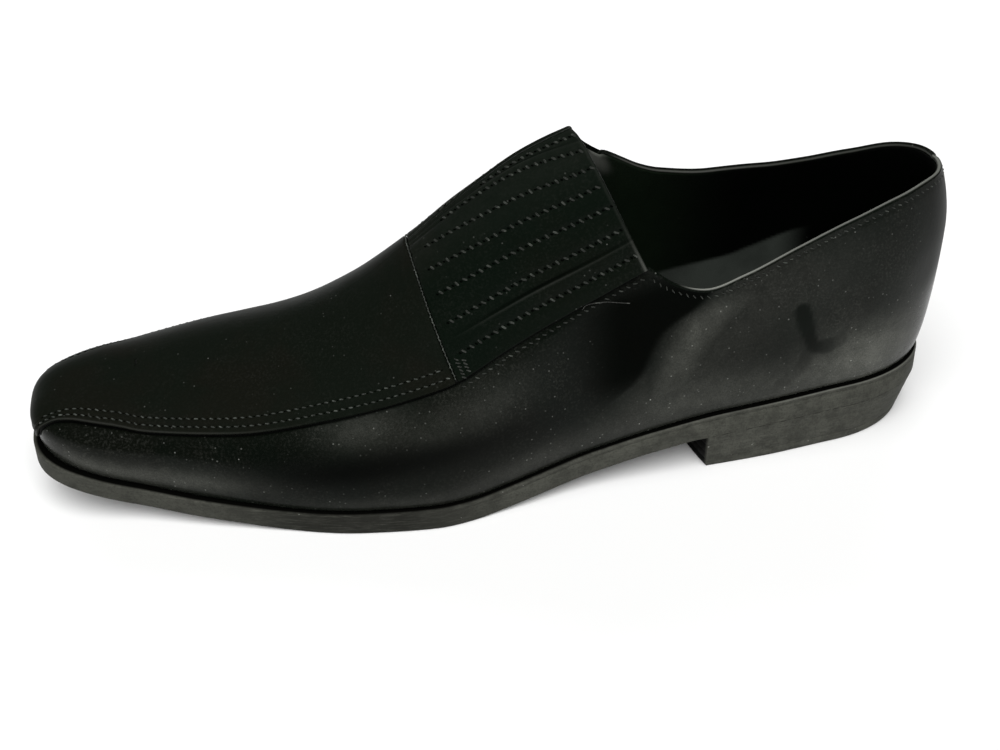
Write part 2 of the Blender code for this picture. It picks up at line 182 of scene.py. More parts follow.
def edge(side, x):
    """The sole's edge on one side: the width from the plan's tables, closed by rounded ends."""
    toe = np.clip((x - LENGTH + TOE_CAP) / TOE_CAP, 0, 1)
    heel = np.clip((HEEL_CAP - x) / HEEL_CAP, 0, 1)
    ends = (1 - toe**TOE_POWER) ** (1 / TOE_POWER) * (1 - heel**HEEL_POWER) ** (1 / HEEL_POWER)
    half = (at_x(OUTER, "plan", x) + at_x(INNER, "plan", x)) / 2
    return centre(x) + side * half * ends


def underside(x):
    return at_x(SOLE, "underside", x)


def sole_top(x):
    return underside(x) + at_x(SOLE, "thickness", x)


def spine(x):
    """The point on the ridge that the rib through x runs to."""
    x = np.clip(x, HEEL_POLE, TOE_POLE)
    return np.array([x, at_x(RIDGE, "offset", x), at_x(RIDGE, "height", x)])


def bezier(points, count):
    t = np.linspace(0, 1, count)[:, None]
    a, b, c, d = np.array(points, float)
    return (1 - t) ** 3 * a + 3 * (1 - t) ** 2 * t * b + 3 * (1 - t) * t**2 * c + t**3 * d


def rib(x, y):
    """One rib of the upper's outside, from the feather edge up over its widest point to the ridge."""
    top = spine(x)
    reach = np.hypot(x - top[0], y - top[1])
    out = np.array([x - top[0], y - top[1]]) / reach
    outer = (1 + out[1]) / 2

    def blend(name):
        return outer * at_x(SECTION, name + "_lateral", x) + (1 - outer) * at_x(SECTION, name + "_medial", x)

    inset = at_x(FEATHER, "inset", x)
    low = sole_top(x - inset * out[0]) + GAP
    wide = low + at_x(SECTION, "widest", x)
    feather, widest = reach - inset, reach + blend("out")
    turn = feather + 0.55 * (widest - feather)
    lower = (feather, low), (turn, low), (widest, wide - 0.5 * (wide - low)), (widest, wide)
    step = 0.001
    fall = (spine(top[0] + step)[2] - spine(top[0] - step)[2]) / (2 * step)
    crown = blend("crown") * widest
    brow = wide + blend("side") * (top[2] - wide)
    upper = (widest, wide), (widest, brow), (crown, top[2] + fall * out[0] * crown), (0, top[2])
    profile = np.concatenate([bezier(lower, 160), bezier(upper, 320)[1:]])
    return np.column_stack([top[:2] + profile[:, :1] * out, profile[:, 1]])


def run_of(points):
    return np.concatenate([[0], np.cumsum(np.linalg.norm(np.diff(points, axis=0), axis=1))])


def unit(vectors):
    return vectors / np.maximum(np.linalg.norm(vectors, axis=-1, keepdims=True), 1e-12)


def sampled(places, run, rows):
    """Rows of values, such as points, taken at places along a run."""
    return np.column_stack([np.interp(places, run, column) for column in rows.T])


def smooth_step(t):
    t = np.clip(t, 0, 1)
    return t * t * (3 - 2 * t)


def ramp(value, start, length):
    """A smooth step from 0 at the start to 1 a length further on; a negative length runs the other way."""
    return smooth_step((value - start) / length)


def bell(distance, width):
    return np.exp(-((distance / width) ** 2))


SHARES = np.linspace(0, 1, 401)


def make_shell(side):
    """One side of the upper's outside as a lookup. A column's u is its x between the poles, and past them it
    runs on along the sole's edge; a share goes up the rib from the feather edge (0) to the ridge (1)."""
    x = LENGTH / 2 * (1 - np.cos(np.linspace(0, np.pi, 4001)))
    rim = np.column_stack([x, edge(side, x)])
    run = run_of(rim)
    to_heel, to_toe = np.interp([HEEL_POLE, TOE_POLE], x, run)
    fan_u = np.where(run > to_toe, TOE_POLE + run - to_toe, x)
    fan_u = np.where(run < to_heel, HEEL_POLE + run - to_heel, fan_u)
    heel = np.linspace(fan_u[0], HEEL_POLE, 121)
    middle = np.linspace(HEEL_POLE, TOE_POLE, 465)
    toe = np.linspace(TOE_POLE, fan_u[-1], 141)
    u = np.concatenate([heel, middle[1:], toe[1:]])
    rim = sampled(u, fan_u, rim)
    rim[0, 0], rim[-1, 0] = 0.0, LENGTH
    grid, lengths = [], []
    for place in rim:
        points = rib(*place)
        length = run_of(points)
        lengths.append(length[-1])
        grid.append(sampled(SHARES, length / length[-1], points))
    grid = np.array(grid)
    normals = unit(np.cross(np.gradient(grid, SHARES, axis=1), np.gradient(grid, u, axis=0)) * side)
    normals[:, -3:] = normals[:, -4:-3]
    normals[:, :2] = normals[:, 2:3]
    inward = unit(grid[:, -1, :2] - rim)
    return dict(u=u, points=grid, normals=normals, length=np.array(lengths), rim=rim, inward=inward)


SHELLS = {side: make_shell(side) for side in (1, -1)}
for tip in (0, -1):
    shared = unit(SHELLS[1]["normals"][tip] + SHELLS[-1]["normals"][tip])
    SHELLS[1]["normals"][tip] = SHELLS[-1]["normals"][tip] = shared


def look_up(side, name, u, share):
    """The shell's points or outward directions, taken between those of its grid."""
    shell = SHELLS[side]
    u, share = np.broadcast_arrays(np.asarray(u, float), np.asarray(share, float))
    i = np.clip(np.searchsorted(shell["u"], u, side="right") - 1, 0, len(shell["u"]) - 2)
    f = ((u - shell["u"][i]) / (shell["u"][i + 1] - shell["u"][i]))[..., None]
    j = np.clip((share * (len(SHARES) - 1)).astype(int), 0, len(SHARES) - 2)
    g = (share * (len(SHARES) - 1) - j)[..., None]
    grid = shell[name]
    low = grid[i, j] * (1 - f) + grid[i + 1, j] * f
    return low * (1 - g) + (grid[i, j + 1] * (1 - f) + grid[i + 1, j + 1] * f) * g


def away(side, u, share):
    return unit(look_up(side, "normals", u, share))


def at(side, u, share, lift=0.0):
    """Points of the upper's outside, lifted off it along its outward direction."""
    return look_up(side, "points", u, share) + np.asarray(lift)[..., None] * away(side, u, share)


def x_of(side, u):
    return np.interp(u, SHELLS[side]["u"], SHELLS[side]["rim"][:, 0])


def length_of(side, u):
    return np.interp(u, SHELLS[side]["u"], SHELLS[side]["length"])


def rim_at(side, u):
    """Points of the sole's edge at columns, and the direction in from them towards the ridge."""
    shell = SHELLS[side]
    return sampled(u, shell["u"], shell["rim"]), unit(sampled(u, shell["u"], shell["inward"]))


def foot(side, ridge_x):
    """Where a leaning column that ends at a place on the ridge starts at the seam."""
    return ridge_x - at_x(LEAN, side_name(side), ridge_x)


def seam_share(side, u):
    return at_x(SEAM, side_name(side), x_of(side, u))


def leaning(side, ridge_x, rise):
    """u and share at a share of the way from the seam to the ridge, along a column that leans forward."""
    x = foot(side, ridge_x)
    seam = at_x(SEAM, side_name(side), x)
    bow = np.interp(ridge_x, (THROAT_X, CROSS_X), (THROAT_BOW[side], CROSS_BOW))
    return x + (ridge_x - x) * (rise + bow * rise * (1 - rise)), seam + (1 - seam) * rise


THROAT_FOOT = {side: foot(side, THROAT_X) for side in (1, -1)}


def topline_turn(side, u):
    return smooth_step(1 + (u - THROAT_FOOT[side]) / TOPLINE_TURN)


def topline_share(side, u):
    """The share of each rib at which it reaches the topline."""
    shell = SHELLS[side]
    heights = at_x(TOPLINE[side], "height", shell["rim"][:, 0])
    shares = [np.interp(h, z, SHARES) for h, z in zip(heights, shell["points"][:, :, 2])]
    end = THROAT_FOOT[side]
    step = seam_share(side, end) - np.interp(end, shell["u"], shares)
    return np.interp(u, shell["u"], shares) + step * topline_turn(side, u)


outsole_low, outsole_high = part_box("outsole")
plan_x = np.linspace(0, LENGTH, 2001)
SHIFT = np.array([outsole_low[0] / MM, outsole_high[1] / MM - edge(1, plan_x).max(), 0.0])


# Materials. Distances in the nodes are in metres.
class Finish:
    """A node material in the making: each call adds a node and hands back its output."""

    def __init__(self, name, tone, roughness, gloss):
        self.material = bpy.data.materials.new(name)
        self.material.use_nodes = True
        self.tree = self.material.node_tree
        self.shader = self.tree.nodes["Principled BSDF"]
        self.shader.inputs["Base Color"].default_value = (*tone, 1)
        self.shader.inputs["Roughness"].default_value = roughness
        self.shader.inputs["Specular IOR Level"].default_value = gloss
        self.place = self.tree.nodes.new("ShaderNodeTexCoord").outputs["Object"]
        self.colour = tone

    def feed(self, socket, value):
        if isinstance(value, bpy.types.NodeSocket):
            self.tree.links.new(value, socket)
        elif socket.type == "RGBA":
            socket.default_value = (*value, 1)
        else:
            socket.default_value = value

    def node(self, kind, output, settings=None, **inputs):
        """A new node. Its inputs go by name, with _ for a space, or by number after a _."""
        made = self.tree.nodes.new("ShaderNode" + kind)
        for name, value in (settings or {}).items():
            setattr(made, name, value)
        for name, value in inputs.items():
            key = int(name[1:]) if name[0] == "_" else name.replace("_", " ")
            self.feed(made.inputs[key], value)
        return made.outputs[output]

    def stretched(self, scale):
        return self.node("Mapping", "Vector", Vector=self.place, Scale=scale)

    def ahead(self):
        return self.node("SeparateXYZ", "X", Vector=self.place)

    def noise(self, scale, detail=2.0, rough=0.5, place=None):
        place = place or self.place
        return self.node("TexNoise", "Fac", Vector=place, Scale=scale, Detail=detail, Roughness=rough)

    def cells(self, scale, output="Distance", feature="F1"):
        return self.node("TexVoronoi", output, {"feature": feature}, Vector=self.place, Scale=scale)

    def span(self, value, low, high, to_low=0.0, to_high=1.0):
        """A value taken from one range to another, held at its ends."""
        settings = {"interpolation_type": "SMOOTHSTEP"}
        return self.node("MapRange", "Result", settings, Value=value, _1=low, _2=high, _3=to_low, _4=to_high)

    def math(self, operation, a, b):
        return self.node("Math", "Value", {"operation": operation}, _0=a, _1=b)

    def add(self, a, b):
        return self.math("ADD", a, b)

    def times(self, value, *factors):
        for factor in factors:
            value = self.math("MULTIPLY", value, factor)
        return value

    def most(self, a, b):
        return self.math("MAXIMUM", a, b)

    def painted(self, name):
        """A value painted on the mesh's points."""
        return self.node("Attribute", "Fac", {"attribute_name": name})

    def bump(self, height, distance, strength, under=None):
        found = self.node("Bump", "Normal", Strength=strength, Distance=distance, Height=height)
        if under is not None:
            self.feed(found.node.inputs["Normal"], under)
        return found

    def coat(self, share, tone):
        """Lays a tone over the colour so far, by a share."""
        self.colour = self.node("Mix", 2, {"data_type": "RGBA"}, _0=share, _6=self.colour, _7=tone)

    def done(self, roughness=None, normal=None):
        for name, value in (("Base Color", self.colour), ("Roughness", roughness), ("Normal", normal)):
            if value is not None:
                self.feed(self.shader.inputs[name], value)
        return self.material


def scaled(tone, *factors):
    """A tone times one factor, or with a factor for each of red, green and blue."""
    return tuple(np.multiply(tone, factors).tolist())


def specks(finish, scale, share, size):
    """Scattered dots: the middles of a small share of a cell pattern's cells, some fainter than others."""
    chosen = finish.node("SeparateColor", "Red", Color=finish.cells(scale, "Color"))
    kept = finish.span(chosen, 1 - share, 1 - share + 0.004)
    dot = finish.span(finish.cells(scale), size, 0.4 * size)
    return finish.times(kept, dot, chosen.node.outputs["Green"])


# Tones of dust specks, of the dusty bloom with its painted sheen, of painted highlights and of painted shade.
DUST = (0.34, 0.35, 0.32)
BLOOM_AND_SHEEN_TONE = (0.085, 0.087, 0.076)
HIGHLIGHT_TONE = (0.20, 0.205, 0.185)
DEEP_BLACK = (0.0003, 0.0004, 0.0003)


def leather(name, tone, roughness, grain, dust, gloss):
    """Smooth black leather: fine pores, soft unevenness, powdery haze and white specks of dust. Painted on
    are places wiped dull, some of them painted shade, a dusty bloom with a painted sheen of reflected light,
    painted highlights on edges and crests, and painted shade for folds, grooves and places of deeper black."""
    finish = Finish(name, tone, roughness, gloss)
    wiped_and_shaded, bloom_and_sheen, highlight, shade = (finish.painted(mark) for mark in ("wiped_and_shaded", "bloom_and_sheen", "highlight", "shade"))
    unwiped_unshaded = finish.math("SUBTRACT", 1.0, finish.most(wiped_and_shaded, shade))
    cloud = finish.noise(26.0, 4.0, 0.6)
    patch = finish.span(finish.noise(55.0, 5.0, 0.65), 0.40, 0.72, 0.3, 1.0)
    pores = finish.cells(1500.0, feature="SMOOTH_F1")
    fine = finish.noise(2300.0, 3.0, 0.65)
    powder = finish.noise(1250.0, 3.0, 0.6)
    haze = finish.times(finish.span(powder, 0.46, 0.70), patch, 0.10 * dust)
    smudge = finish.span(finish.noise(170.0, 4.0, 0.65), 0.34, 0.66, 0.82, 1.18)
    dusty_sheen = finish.times(bloom_and_sheen, smudge, finish.span(fine, 0.34, 0.68, 0.72, 1.28))
    many = finish.times(specks(finish, 620.0, 0.19 * dust, 0.22), 0.34)
    dots = finish.most(many, specks(finish, 300.0, 0.09 * dust, 0.10))
    dots = finish.times(dots, unwiped_unshaded, finish.span(bloom_and_sheen, 0.0, 0.25, 0.2 + 0.3 * dust, 1.0))
    finish.coat(finish.span(cloud, 0.40, 0.62), scaled(tone, 1.28, 1.0, 1.02))
    # Dust haze and the bloom with its painted sheen of reflected light, then dust specks, painted highlights
    # and painted shade.
    finish.coat(finish.times(finish.add(haze, dusty_sheen), unwiped_unshaded), BLOOM_AND_SHEEN_TONE)
    finish.coat(dots, DUST)
    finish.coat(highlight, HIGHLIGHT_TONE)
    finish.coat(shade, DEEP_BLACK)
    shine = finish.span(cloud, 0.3, 0.75, roughness - 0.03, roughness + 0.05)
    for mark, amount in ((wiped_and_shaded, 0.38), (bloom_and_sheen, 0.15), (dots, 0.4), (shade, 0.5)):
        shine = finish.add(shine, finish.times(mark, amount))
    waves = finish.bump(finish.noise(120.0, 3.0, 0.55), 0.0006, 0.10)
    creased = finish.bump(finish.noise(620.0, 3.0, 0.6), 0.00012, 0.25, waves)
    normal = finish.bump(finish.add(pores, finish.times(fine, 0.6)), 0.00006, grain, creased)
    return finish.done(shine, normal)


def rubber(name, tone):
    """Matt moulded edge: mottled grey with fine lines along it, darker at the ball, pale where a highlight is
    painted and black where shade is painted."""
    finish = Finish(name, tone, 0.6, 0.04)
    cloud = finish.noise(150.0, 6.0, 0.72)
    lines = finish.noise(1700.0, 4.0, 0.7, finish.stretched((0.09, 0.09, 1.0)))
    grit = finish.noise(1300.0, 4.0, 0.75)
    ahead = finish.ahead()
    finish.coat(finish.span(ahead, -0.01, 0.04), scaled(tone, 0.27))
    finish.coat(finish.span(ahead, 0.065, 0.10), scaled(tone, 0.85))
    finish.coat(finish.span(cloud, 0.60, 0.36, 0.0, 0.6), scaled(tone, 0.38))
    finish.coat(finish.span(lines, 0.46, 0.72, 0.0, 0.35), scaled(tone, 1.5))
    finish.coat(finish.span(grit, 0.55, 0.3, 0.0, 0.6), scaled(tone, 0.35))
    finish.coat(finish.most(specks(finish, 560.0, 0.12, 0.12), specks(finish, 190.0, 0.05, 0.08)), DUST)
    # A painted highlight, then painted shade.
    finish.coat(finish.painted("highlight"), HIGHLIGHT_TONE)
    finish.coat(finish.painted("shade"), scaled(tone, 0.03))
    normal = finish.bump(lines, 0.00010, 0.30, finish.bump(grit, 0.00008, 0.35))
    return finish.done(finish.span(cloud, 0.3, 0.7, 0.52, 0.68), normal)


def thread(name, tone):
    """Waxed sewing thread with paler scuffed tops."""
    finish = Finish(name, tone, 0.55, 0.3)
    plies = finish.noise(2400.0, 2.0, 0.6)
    wear = finish.noise(420.0, 2.0, 0.6)
    finish.colour = scaled(tone, 0.6)
    finish.coat(finish.span(plies, 0.35, 0.7), scaled(tone, 1.5))
    finish.coat(finish.span(wear, 0.5, 0.68), scaled(tone, 2.4))
    return finish.done(finish.span(plies, 0.3, 0.7, 0.45, 0.7), finish.bump(plies, 0.0001, 0.5))


def napped(name, tone, low_tone=None):
    """Leather with a fine nap. The lining has a low tone too: it is paler towards the throat and where it is
    painted low, along the foot."""
    finish = Finish(name, tone, 0.7, 0.2)
    cloud = finish.noise(45.0, 4.0, 0.6)
    nap = finish.noise(1900.0, 3.0, 0.65)
    if low_tone:
        finish.coat(finish.span(finish.ahead(), -0.095, -0.035), scaled(tone, 15.0, 18.0, 14.0))
        finish.coat(finish.painted("low"), low_tone)
    finish.coat(finish.span(cloud, 0.3, 0.7, 0.0, 0.35), scaled(tone, 0.5))
    # The painted highlight beside the panel's back edge.
    finish.coat(finish.painted("highlight"), HIGHLIGHT_TONE)
    finish.coat(finish.times(specks(finish, 380.0, 0.04, 0.10), 0.7), DUST)
    return finish.done(finish.span(nap, 0.3, 0.7, 0.6, 0.78), finish.bump(nap, 0.00015, 0.3))


def pinhole(name):
    """The painted shade inside a needle hole."""
    finish = Finish(name, (0.0006, 0.0007, 0.0006), 0.9, 0.0)
    finish.colour = (0.0004, 0.0005, 0.0004)
    finish.coat(finish.noise(3000.0), (0.0012, 0.0014, 0.0012))
    return finish.done()


SIDE_LEATHER = leather("side_leather_black", (0.0020, 0.0032, 0.0021), 0.21, 0.10, 1.4, 0.078)
APRON_LEATHER = leather("apron_leather_black", (0.0036, 0.0050, 0.0034), 0.46, 0.10, 0.5, 0.03)
PANEL_LEATHER = leather("panel_leather_black", (0.0020, 0.0038, 0.0023), 0.48, 0.16, 0.45, 0.05)
SOLE_RUBBER = rubber("sole_edge_grey", (0.057, 0.058, 0.049))
HEEL_RUBBER = rubber("heel_grey", (0.059, 0.060, 0.051))
LINING = napped("lining_black", (0.0004, 0.0006, 0.0004), (0.036, 0.041, 0.036))
SOCK = napped("sock_grey", (0.05, 0.056, 0.05))
THREAD = thread("black_thread", (0.019, 0.021, 0.018))
APRON_THREAD = thread("apron_thread", (0.029, 0.032, 0.028))
PALE_THREAD = thread("worn_thread", (0.028, 0.029, 0.026))
PINHOLE = pinhole("needle_hole")


# Pieces.
def new_mesh(name, points, faces):
    mesh = bpy.data.meshes.new(name)
    mesh.from_pydata(((np.concatenate(points) + SHIFT) * MM).tolist(), [], faces)
    return mesh


def add_piece(name, grids, material, nodes=(), paint=None, turn=True, sharp=None, weld=0.003):
    """A piece from grids of points: neighbours make faces, and points in one place become one. Painted values
    come as one array for each grid."""
    points, faces = [], []
    count = 0
    for grid in grids:
        index = count + np.arange(grid.shape[0] * grid.shape[1]).reshape(grid.shape[:2])
        corners = index[:-1, :-1], index[1:, :-1], index[1:, 1:], index[:-1, 1:]
        faces += np.stack(corners, axis=-1).reshape(-1, 4).tolist()
        points.append(grid.reshape(-1, 3))
        count += index.size
    mesh = new_mesh(name, points, faces)
    for key, parts in (paint or {}).items():
        values = np.concatenate([part.reshape(-1) for part in parts]).astype(np.float32)
        mesh.attributes.new(key, "FLOAT", "POINT").data.foreach_set("value", values)
    tidy(mesh, weld, turn)
    return dress(name, mesh, material, nodes, sharp)


def tidy(mesh, weld=0.0, turn=True):
    shape = bmesh.new()
    shape.from_mesh(mesh)
    if weld:
        bmesh.ops.remove_doubles(shape, verts=shape.verts, dist=weld * MM)
    if turn:
        bmesh.ops.recalc_face_normals(shape, faces=shape.faces)
    shape.to_mesh(mesh)
    shape.free()


def dress(name, mesh, material, nodes=(), sharp=None):
    mesh.shade_smooth()
    if sharp is not None:
        mesh.set_sharp_from_angle(angle=np.radians(sharp))
    mesh.materials.append(material)
    obj = bpy.data.objects.new(name, mesh)
    bpy.context.scene.collection.objects.link(obj)
    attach(obj, "root")
    if nodes:
        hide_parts(*nodes)
    return obj


def facing(side, grid):
    """A grid whose faces look outward when its columns run from toe to heel and its rows upward."""
    return grid if side > 0 else grid[::-1]


def edge_round(distance, radius):
    """How much of a sheet's thickness stands at a distance from its rounded edge."""
    return np.sqrt(np.clip(1 - (1 - np.clip(distance / radius, 0, 1)) ** 2, 0, 1))


def columns_of(side, step):
    """Columns from the toe tip to the back of the heel."""
    u, other = SHELLS[side]["u"], SHELLS[-side]["u"]
    run = (np.ptp(u) + np.ptp(other)) / 2
    return np.linspace(u[-1], u[0], int(round(run / step)) + 1)


# Soft hollows and swells of the side leather: place as u and share, reach along and across, height.
DENTS = table(
    "u share along across height",
    (190.0, 0.230, 40.0, 10.0, -0.50),
    (112.0, 0.120, 15.0, 11.0, 0.90),
    (112.0, 0.390, 15.0, 16.0, -1.60),
    (166.0, 0.330, 13.0, 8.0, -0.30),
    (142.0, 0.190, 18.0, 8.0, 0.30),
    (90.0, 0.240, 10.0, 14.0, 0.40),
    (70.0, 0.320, 14.0, 14.0, -0.40),
    (44.0, 0.340, 14.0, 12.0, -0.30),
    (228.0, 0.240, 18.0, 7.0, -0.20),
)
# Dusty bloom with a painted sheen where the leather reflects the floor, placed in the same way, with its
# strength.
BLOOM_AND_SHEEN = table(
    "u share along across strength",
    (62.0, 0.060, 42.0, 9.0, 0.34),
    (27.0, 0.110, 18.0, 12.0, 0.75),
    (12.0, 0.260, 9.0, 16.0, 0.08),
    (98.0, 0.110, 18.0, 9.0, 0.20),
    (80.0, 0.250, 15.0, 15.0, 0.07),
    (140.0, 0.060, 26.0, 5.0, 0.22),
    (190.0, 0.040, 30.0, 3.0, 0.14),
    (199.0, 0.370, 12.0, 7.0, 0.20),
    (176.0, 0.300, 16.0, 8.0, 0.12),
    (156.0, 0.340, 14.0, 10.0, 0.10),
    (255.0, 0.120, 24.0, 4.0, 0.38),
    (286.0, 0.110, 16.0, 3.8, 0.36),
    (52.0, 0.380, 34.0, 18.0, 0.10),
)
# A band of painted shade, a deeper black for a dark reflection along the outer side of the ball, placed in
# the same way.
DEEP = table(
    "u share along across strength",
    (208.0, 0.200, 24.0, 6.8, 0.80),
    (176.0, 0.212, 20.0, 5.6, 0.52),
    (150.0, 0.195, 18.0, 5.0, 0.34),
)
# Wiped places on the outer quarter: a stroke down with a foot to the back, and a fainter smear below it.
STROKE = table(
    "u share half_width strength",
    (53.6, 0.306, 2.9, 1.0), (52.2, 0.268, 3.0, 1.0), (50.6, 0.222, 2.4, 1.0),
    (48.4, 0.180, 2.5, 0.90), (43.6, 0.176, 3.2, 0.58), (39.4, 0.188, 2.8, 0.34),
)
SMEAR = table(
    "u share half_width strength",
    (49.6, 0.180, 2.4, 0.44), (52.0, 0.120, 2.8, 0.36), (56.5, 0.080, 2.6, 0.28), (62.0, 0.055, 2.2, 0.18),
)
# A painted reflection: a pale sweep behind the dark patch in the outer waist, from the topline down.
SWEEP = table(
    "u share half_width strength",
    (67.0, 0.382, 2.0, 0.10), (75.0, 0.368, 3.2, 0.22), (82.0, 0.346, 4.6, 0.34), (88.5, 0.308, 5.4, 0.37),
    (92.5, 0.250, 5.8, 0.34), (95.5, 0.190, 6.2, 0.30), (99.0, 0.130, 6.4, 0.26),
)
SWEEP_SOFTNESS = 4.5
# The dark patch's hard back edge; here s is the share up the rib.
PATCH_EDGE = table(
    "s u",
    (0.10, 126.0), (0.177, 114.0), (0.203, 108.0), (0.245, 103.5), (0.288, 101.0),
    (0.328, 98.0), (0.357, 93.5), (0.390, 86.0), (0.435, 81.0), (0.60, 78.0),
)


def blobs(side, u, share, spots):
    """Soft spots from a table, added up."""
    found = np.zeros(np.broadcast(u, share).shape)
    for place, height, along, across, amount in zip(*spots.values()):
        found = found + amount * bell(u - place, along) * bell((share - height) * length_of(side, u), across)
    return found


def stroke(side, u, share, path, soft=0.8):
    """A soft-edged stroke along a table of places."""
    rows = np.linspace(0, 1, len(path["u"]))
    places = [np.interp(np.linspace(0, 1, 40), rows, column) for column in path.values()]
    found = np.zeros(np.broadcast(u, share).shape)
    for pu, ps, half, strength in zip(*places):
        gap = np.hypot(u - pu, (share - ps) * length_of(side, u))
        found = np.maximum(found, strength * smooth_step((half + soft - gap) / (2 * soft)))
    return found


def waist_patch(u, share):
    """The broad patch of painted shade for a dark reflection in the outer waist, with a hard back edge and a
    slow fade ahead and below.
    """
    patch = smooth_step((u - curve(PATCH_EDGE, "u", share)) / 5.0 + 0.2) * ramp(u, 136.0, -24.0)
    return patch * ramp(share, 0.11, 0.14) * ramp(share, 0.56, -0.12)


def on_side(side, u, share, lift=0.0):
    """Points on the side leather with its hollows, which are fainter on the inner side."""
    dents = blobs(side, u, share, DENTS) * (1.0 if side > 0 else 0.4)
    return at(side, u, share, lift + dents)


def climb(side, u):
    """How far the topline's end climbs to meet the panel's back edge."""
    return (1.0 if side > 0 else 1.5) * topline_turn(side, u)


def side_top(side, u):
    """The share at which the side leather's edge lies: under the apron and panel, then at the topline."""
    rise = climb(side, u) + 0.8 * ramp(u, THROAT_FOOT[side], 5.0)
    top = np.where(u >= THROAT_FOOT[side], seam_share(side, u), topline_share(side, u))
    return top + rise / length_of(side, u)


# Radius of the side leather's edge at the topline and under the apron, and its stitch rows' distances.
ROLL, SEAM_ROLL = 1.0, 0.45
TOPLINE_STITCH, QUARTER_STITCH = 2.6, 2.3
# The part of the rolled topline that has a painted highlight: its middle and half its width in degrees from
# the outer face, its strength, and how far behind the throat it starts.
TOPLINE_HIGHLIGHT = {1: (84.0, 44.0, 0.9, 9.0), -1: (150.0, 22.0, 0.34, 0.0)}
SIDE_STEP, SIDE_ROWS = 1.2, 84
SIDE_THICKNESS = 1.2


def collar(side, u):
    """1 behind the throat and 0 ahead of it."""
    return ramp(u, THROAT_FOOT[side] + 3.0, -5.0)


def below_seam(side, u, share):
    return (seam_share(side, u) - share) * length_of(side, u)


def pressed_lines(side, u, share, below):
    """How deep the side leather is pressed in: along its stitch rows, under its folded edge, where it goes
    under the apron and panel, and at the back seam."""
    behind = collar(side, u)
    under = below_seam(side, u, share)
    quarter = (1 - behind) * ramp(u, CROSS_X, -12.0)
    topline = 0.16 * bell(below - TOPLINE_STITCH + ROLL, 0.5) + 0.10 * bell(below - 0.5, 0.45)
    apron = 0.60 * bell(under - 0.4, 0.7)
    rows = behind * topline + (1 - behind) * apron + 0.15 * quarter * bell(under - QUARTER_STITCH, 0.5)
    return rows + 0.35 * smooth_step(1 - (u - SHELLS[side]["u"][0]) / 1.6)


def side_marks(side, u, share):
    """What is painted on the side leather's outer face; most of it is on the outer side only."""
    bloom_and_sheen = blobs(side, u, share, BLOOM_AND_SHEEN) * (1.0 if side > 0 else 0.5)
    # Painted shade in the groove under the edges of the apron and the panel.
    edge_line = smooth_step(1.5 - np.abs(below_seam(side, u, share) - 0.2) / 0.5)
    shade = 0.9 * (1 - collar(side, u)) * edge_line
    wiped_and_shaded = np.zeros(shade.shape)
    if side > 0:
        patch = waist_patch(u, share)
        # Painted shade at the back of the heel: dulled and cleared of dust and sheen to darken its
        # reflection.
        heel = 0.7 * ramp(u, 20.0, -14.0) * ramp(share, 0.20, 0.12)
        strokes = [stroke(side, u, share, path) for path in (STROKE, SMEAR)]
        wiped_and_shaded = np.maximum.reduce([*strokes, patch, heel])
        bloom_and_sheen = np.maximum(bloom_and_sheen, stroke(side, u, share, SWEEP, SWEEP_SOFTNESS))
        # Painted shade: the ball's band of deeper black, and the waist patch.
        ball = np.minimum(blobs(side, u, share, DEEP), 0.85)
        shade = np.maximum.reduce([shade, ball, 0.75 * patch])
    return {"wiped_and_shaded": wiped_and_shaded, "bloom_and_sheen": bloom_and_sheen, "shade": shade}


def topline_highlight(side, u, degrees):
    """Where the rolled topline has a painted highlight."""
    middle, half, strength, start = TOPLINE_HIGHLIGHT[side]
    back = ramp(u, THROAT_FOOT[side] - start, -8.0) * (0.62 + 0.38 * bell(u - 84.0, 26.0))
    return strength * back * smooth_step(1.6 - 1.6 * np.abs(degrees - middle) / half)


def add_side_leather():
    """The side leather of both sides, from the toe to the back seam, with its folded topline."""
    grids = []
    paint = {"wiped_and_shaded": [], "bloom_and_sheen": [], "highlight": [], "shade": []}
    degrees = np.arange(15, 181, 15)[None, :]
    angle = np.radians(degrees)[..., None]
    rows = np.linspace(0, 1, SIDE_ROWS)[None, :]
    ease = np.concatenate([np.linspace(0.1, 1, 4), np.ones(9)])[None, :]
    for side in (1, -1):
        u = columns_of(side, SIDE_STEP)[:, None]
        long = length_of(side, u)
        roll = SEAM_ROLL + (ROLL - SEAM_ROLL) * collar(side, u)
        top = side_top(side, u) - roll / long
        share = top * (0.35 * rows**1.6 + 0.65 * rows)
        outer = on_side(side, u, share, -pressed_lines(side, u, share, (top - share) * long))
        rim, inward = rim_at(side, u[:, 0])
        margin = rim + inward * MARGIN
        margin = np.column_stack([margin, sole_top(margin[:, 0]) + GAP])[:, None]
        outward = away(side, u[:, 0], top[:, 0])[:, None]
        upward = unit(outer[:, -1:] - outer[:, -3:-2])
        heart = outer[:, -1:] - roll[..., None] * outward
        over = heart + roll[..., None] * (np.cos(angle) * outward + np.sin(angle) * upward)
        falls = np.array([1.0, 2.5, 5.0, 9.0])[None, :] / long
        inner_share = np.concatenate([top - falls, top * np.linspace(0.75, 0.03, 9)[None, :]], axis=1)
        inner = on_side(side, u, inner_share, -2 * roll + (2 * roll - SIDE_THICKNESS) * ease)
        grid = np.concatenate([margin, outer, over, inner, margin + [0, 0, 0.05]], axis=1)
        grids.append(facing(side, grid))
        marks = side_marks(side, u, share)
        for name, parts in paint.items():
            values = np.zeros(grid.shape[:2])
            if name == "highlight":
                # The rolled topline's painted highlight.
                values[:, 1 + SIDE_ROWS : 1 + SIDE_ROWS + degrees.size] = topline_highlight(side, u, degrees)
            else:
                values[:, 1 : 1 + SIDE_ROWS] = marks[name]
            parts.append(facing(side, values))
    add_piece("side_leather", grids, SIDE_LEATHER, ["upper"], paint)


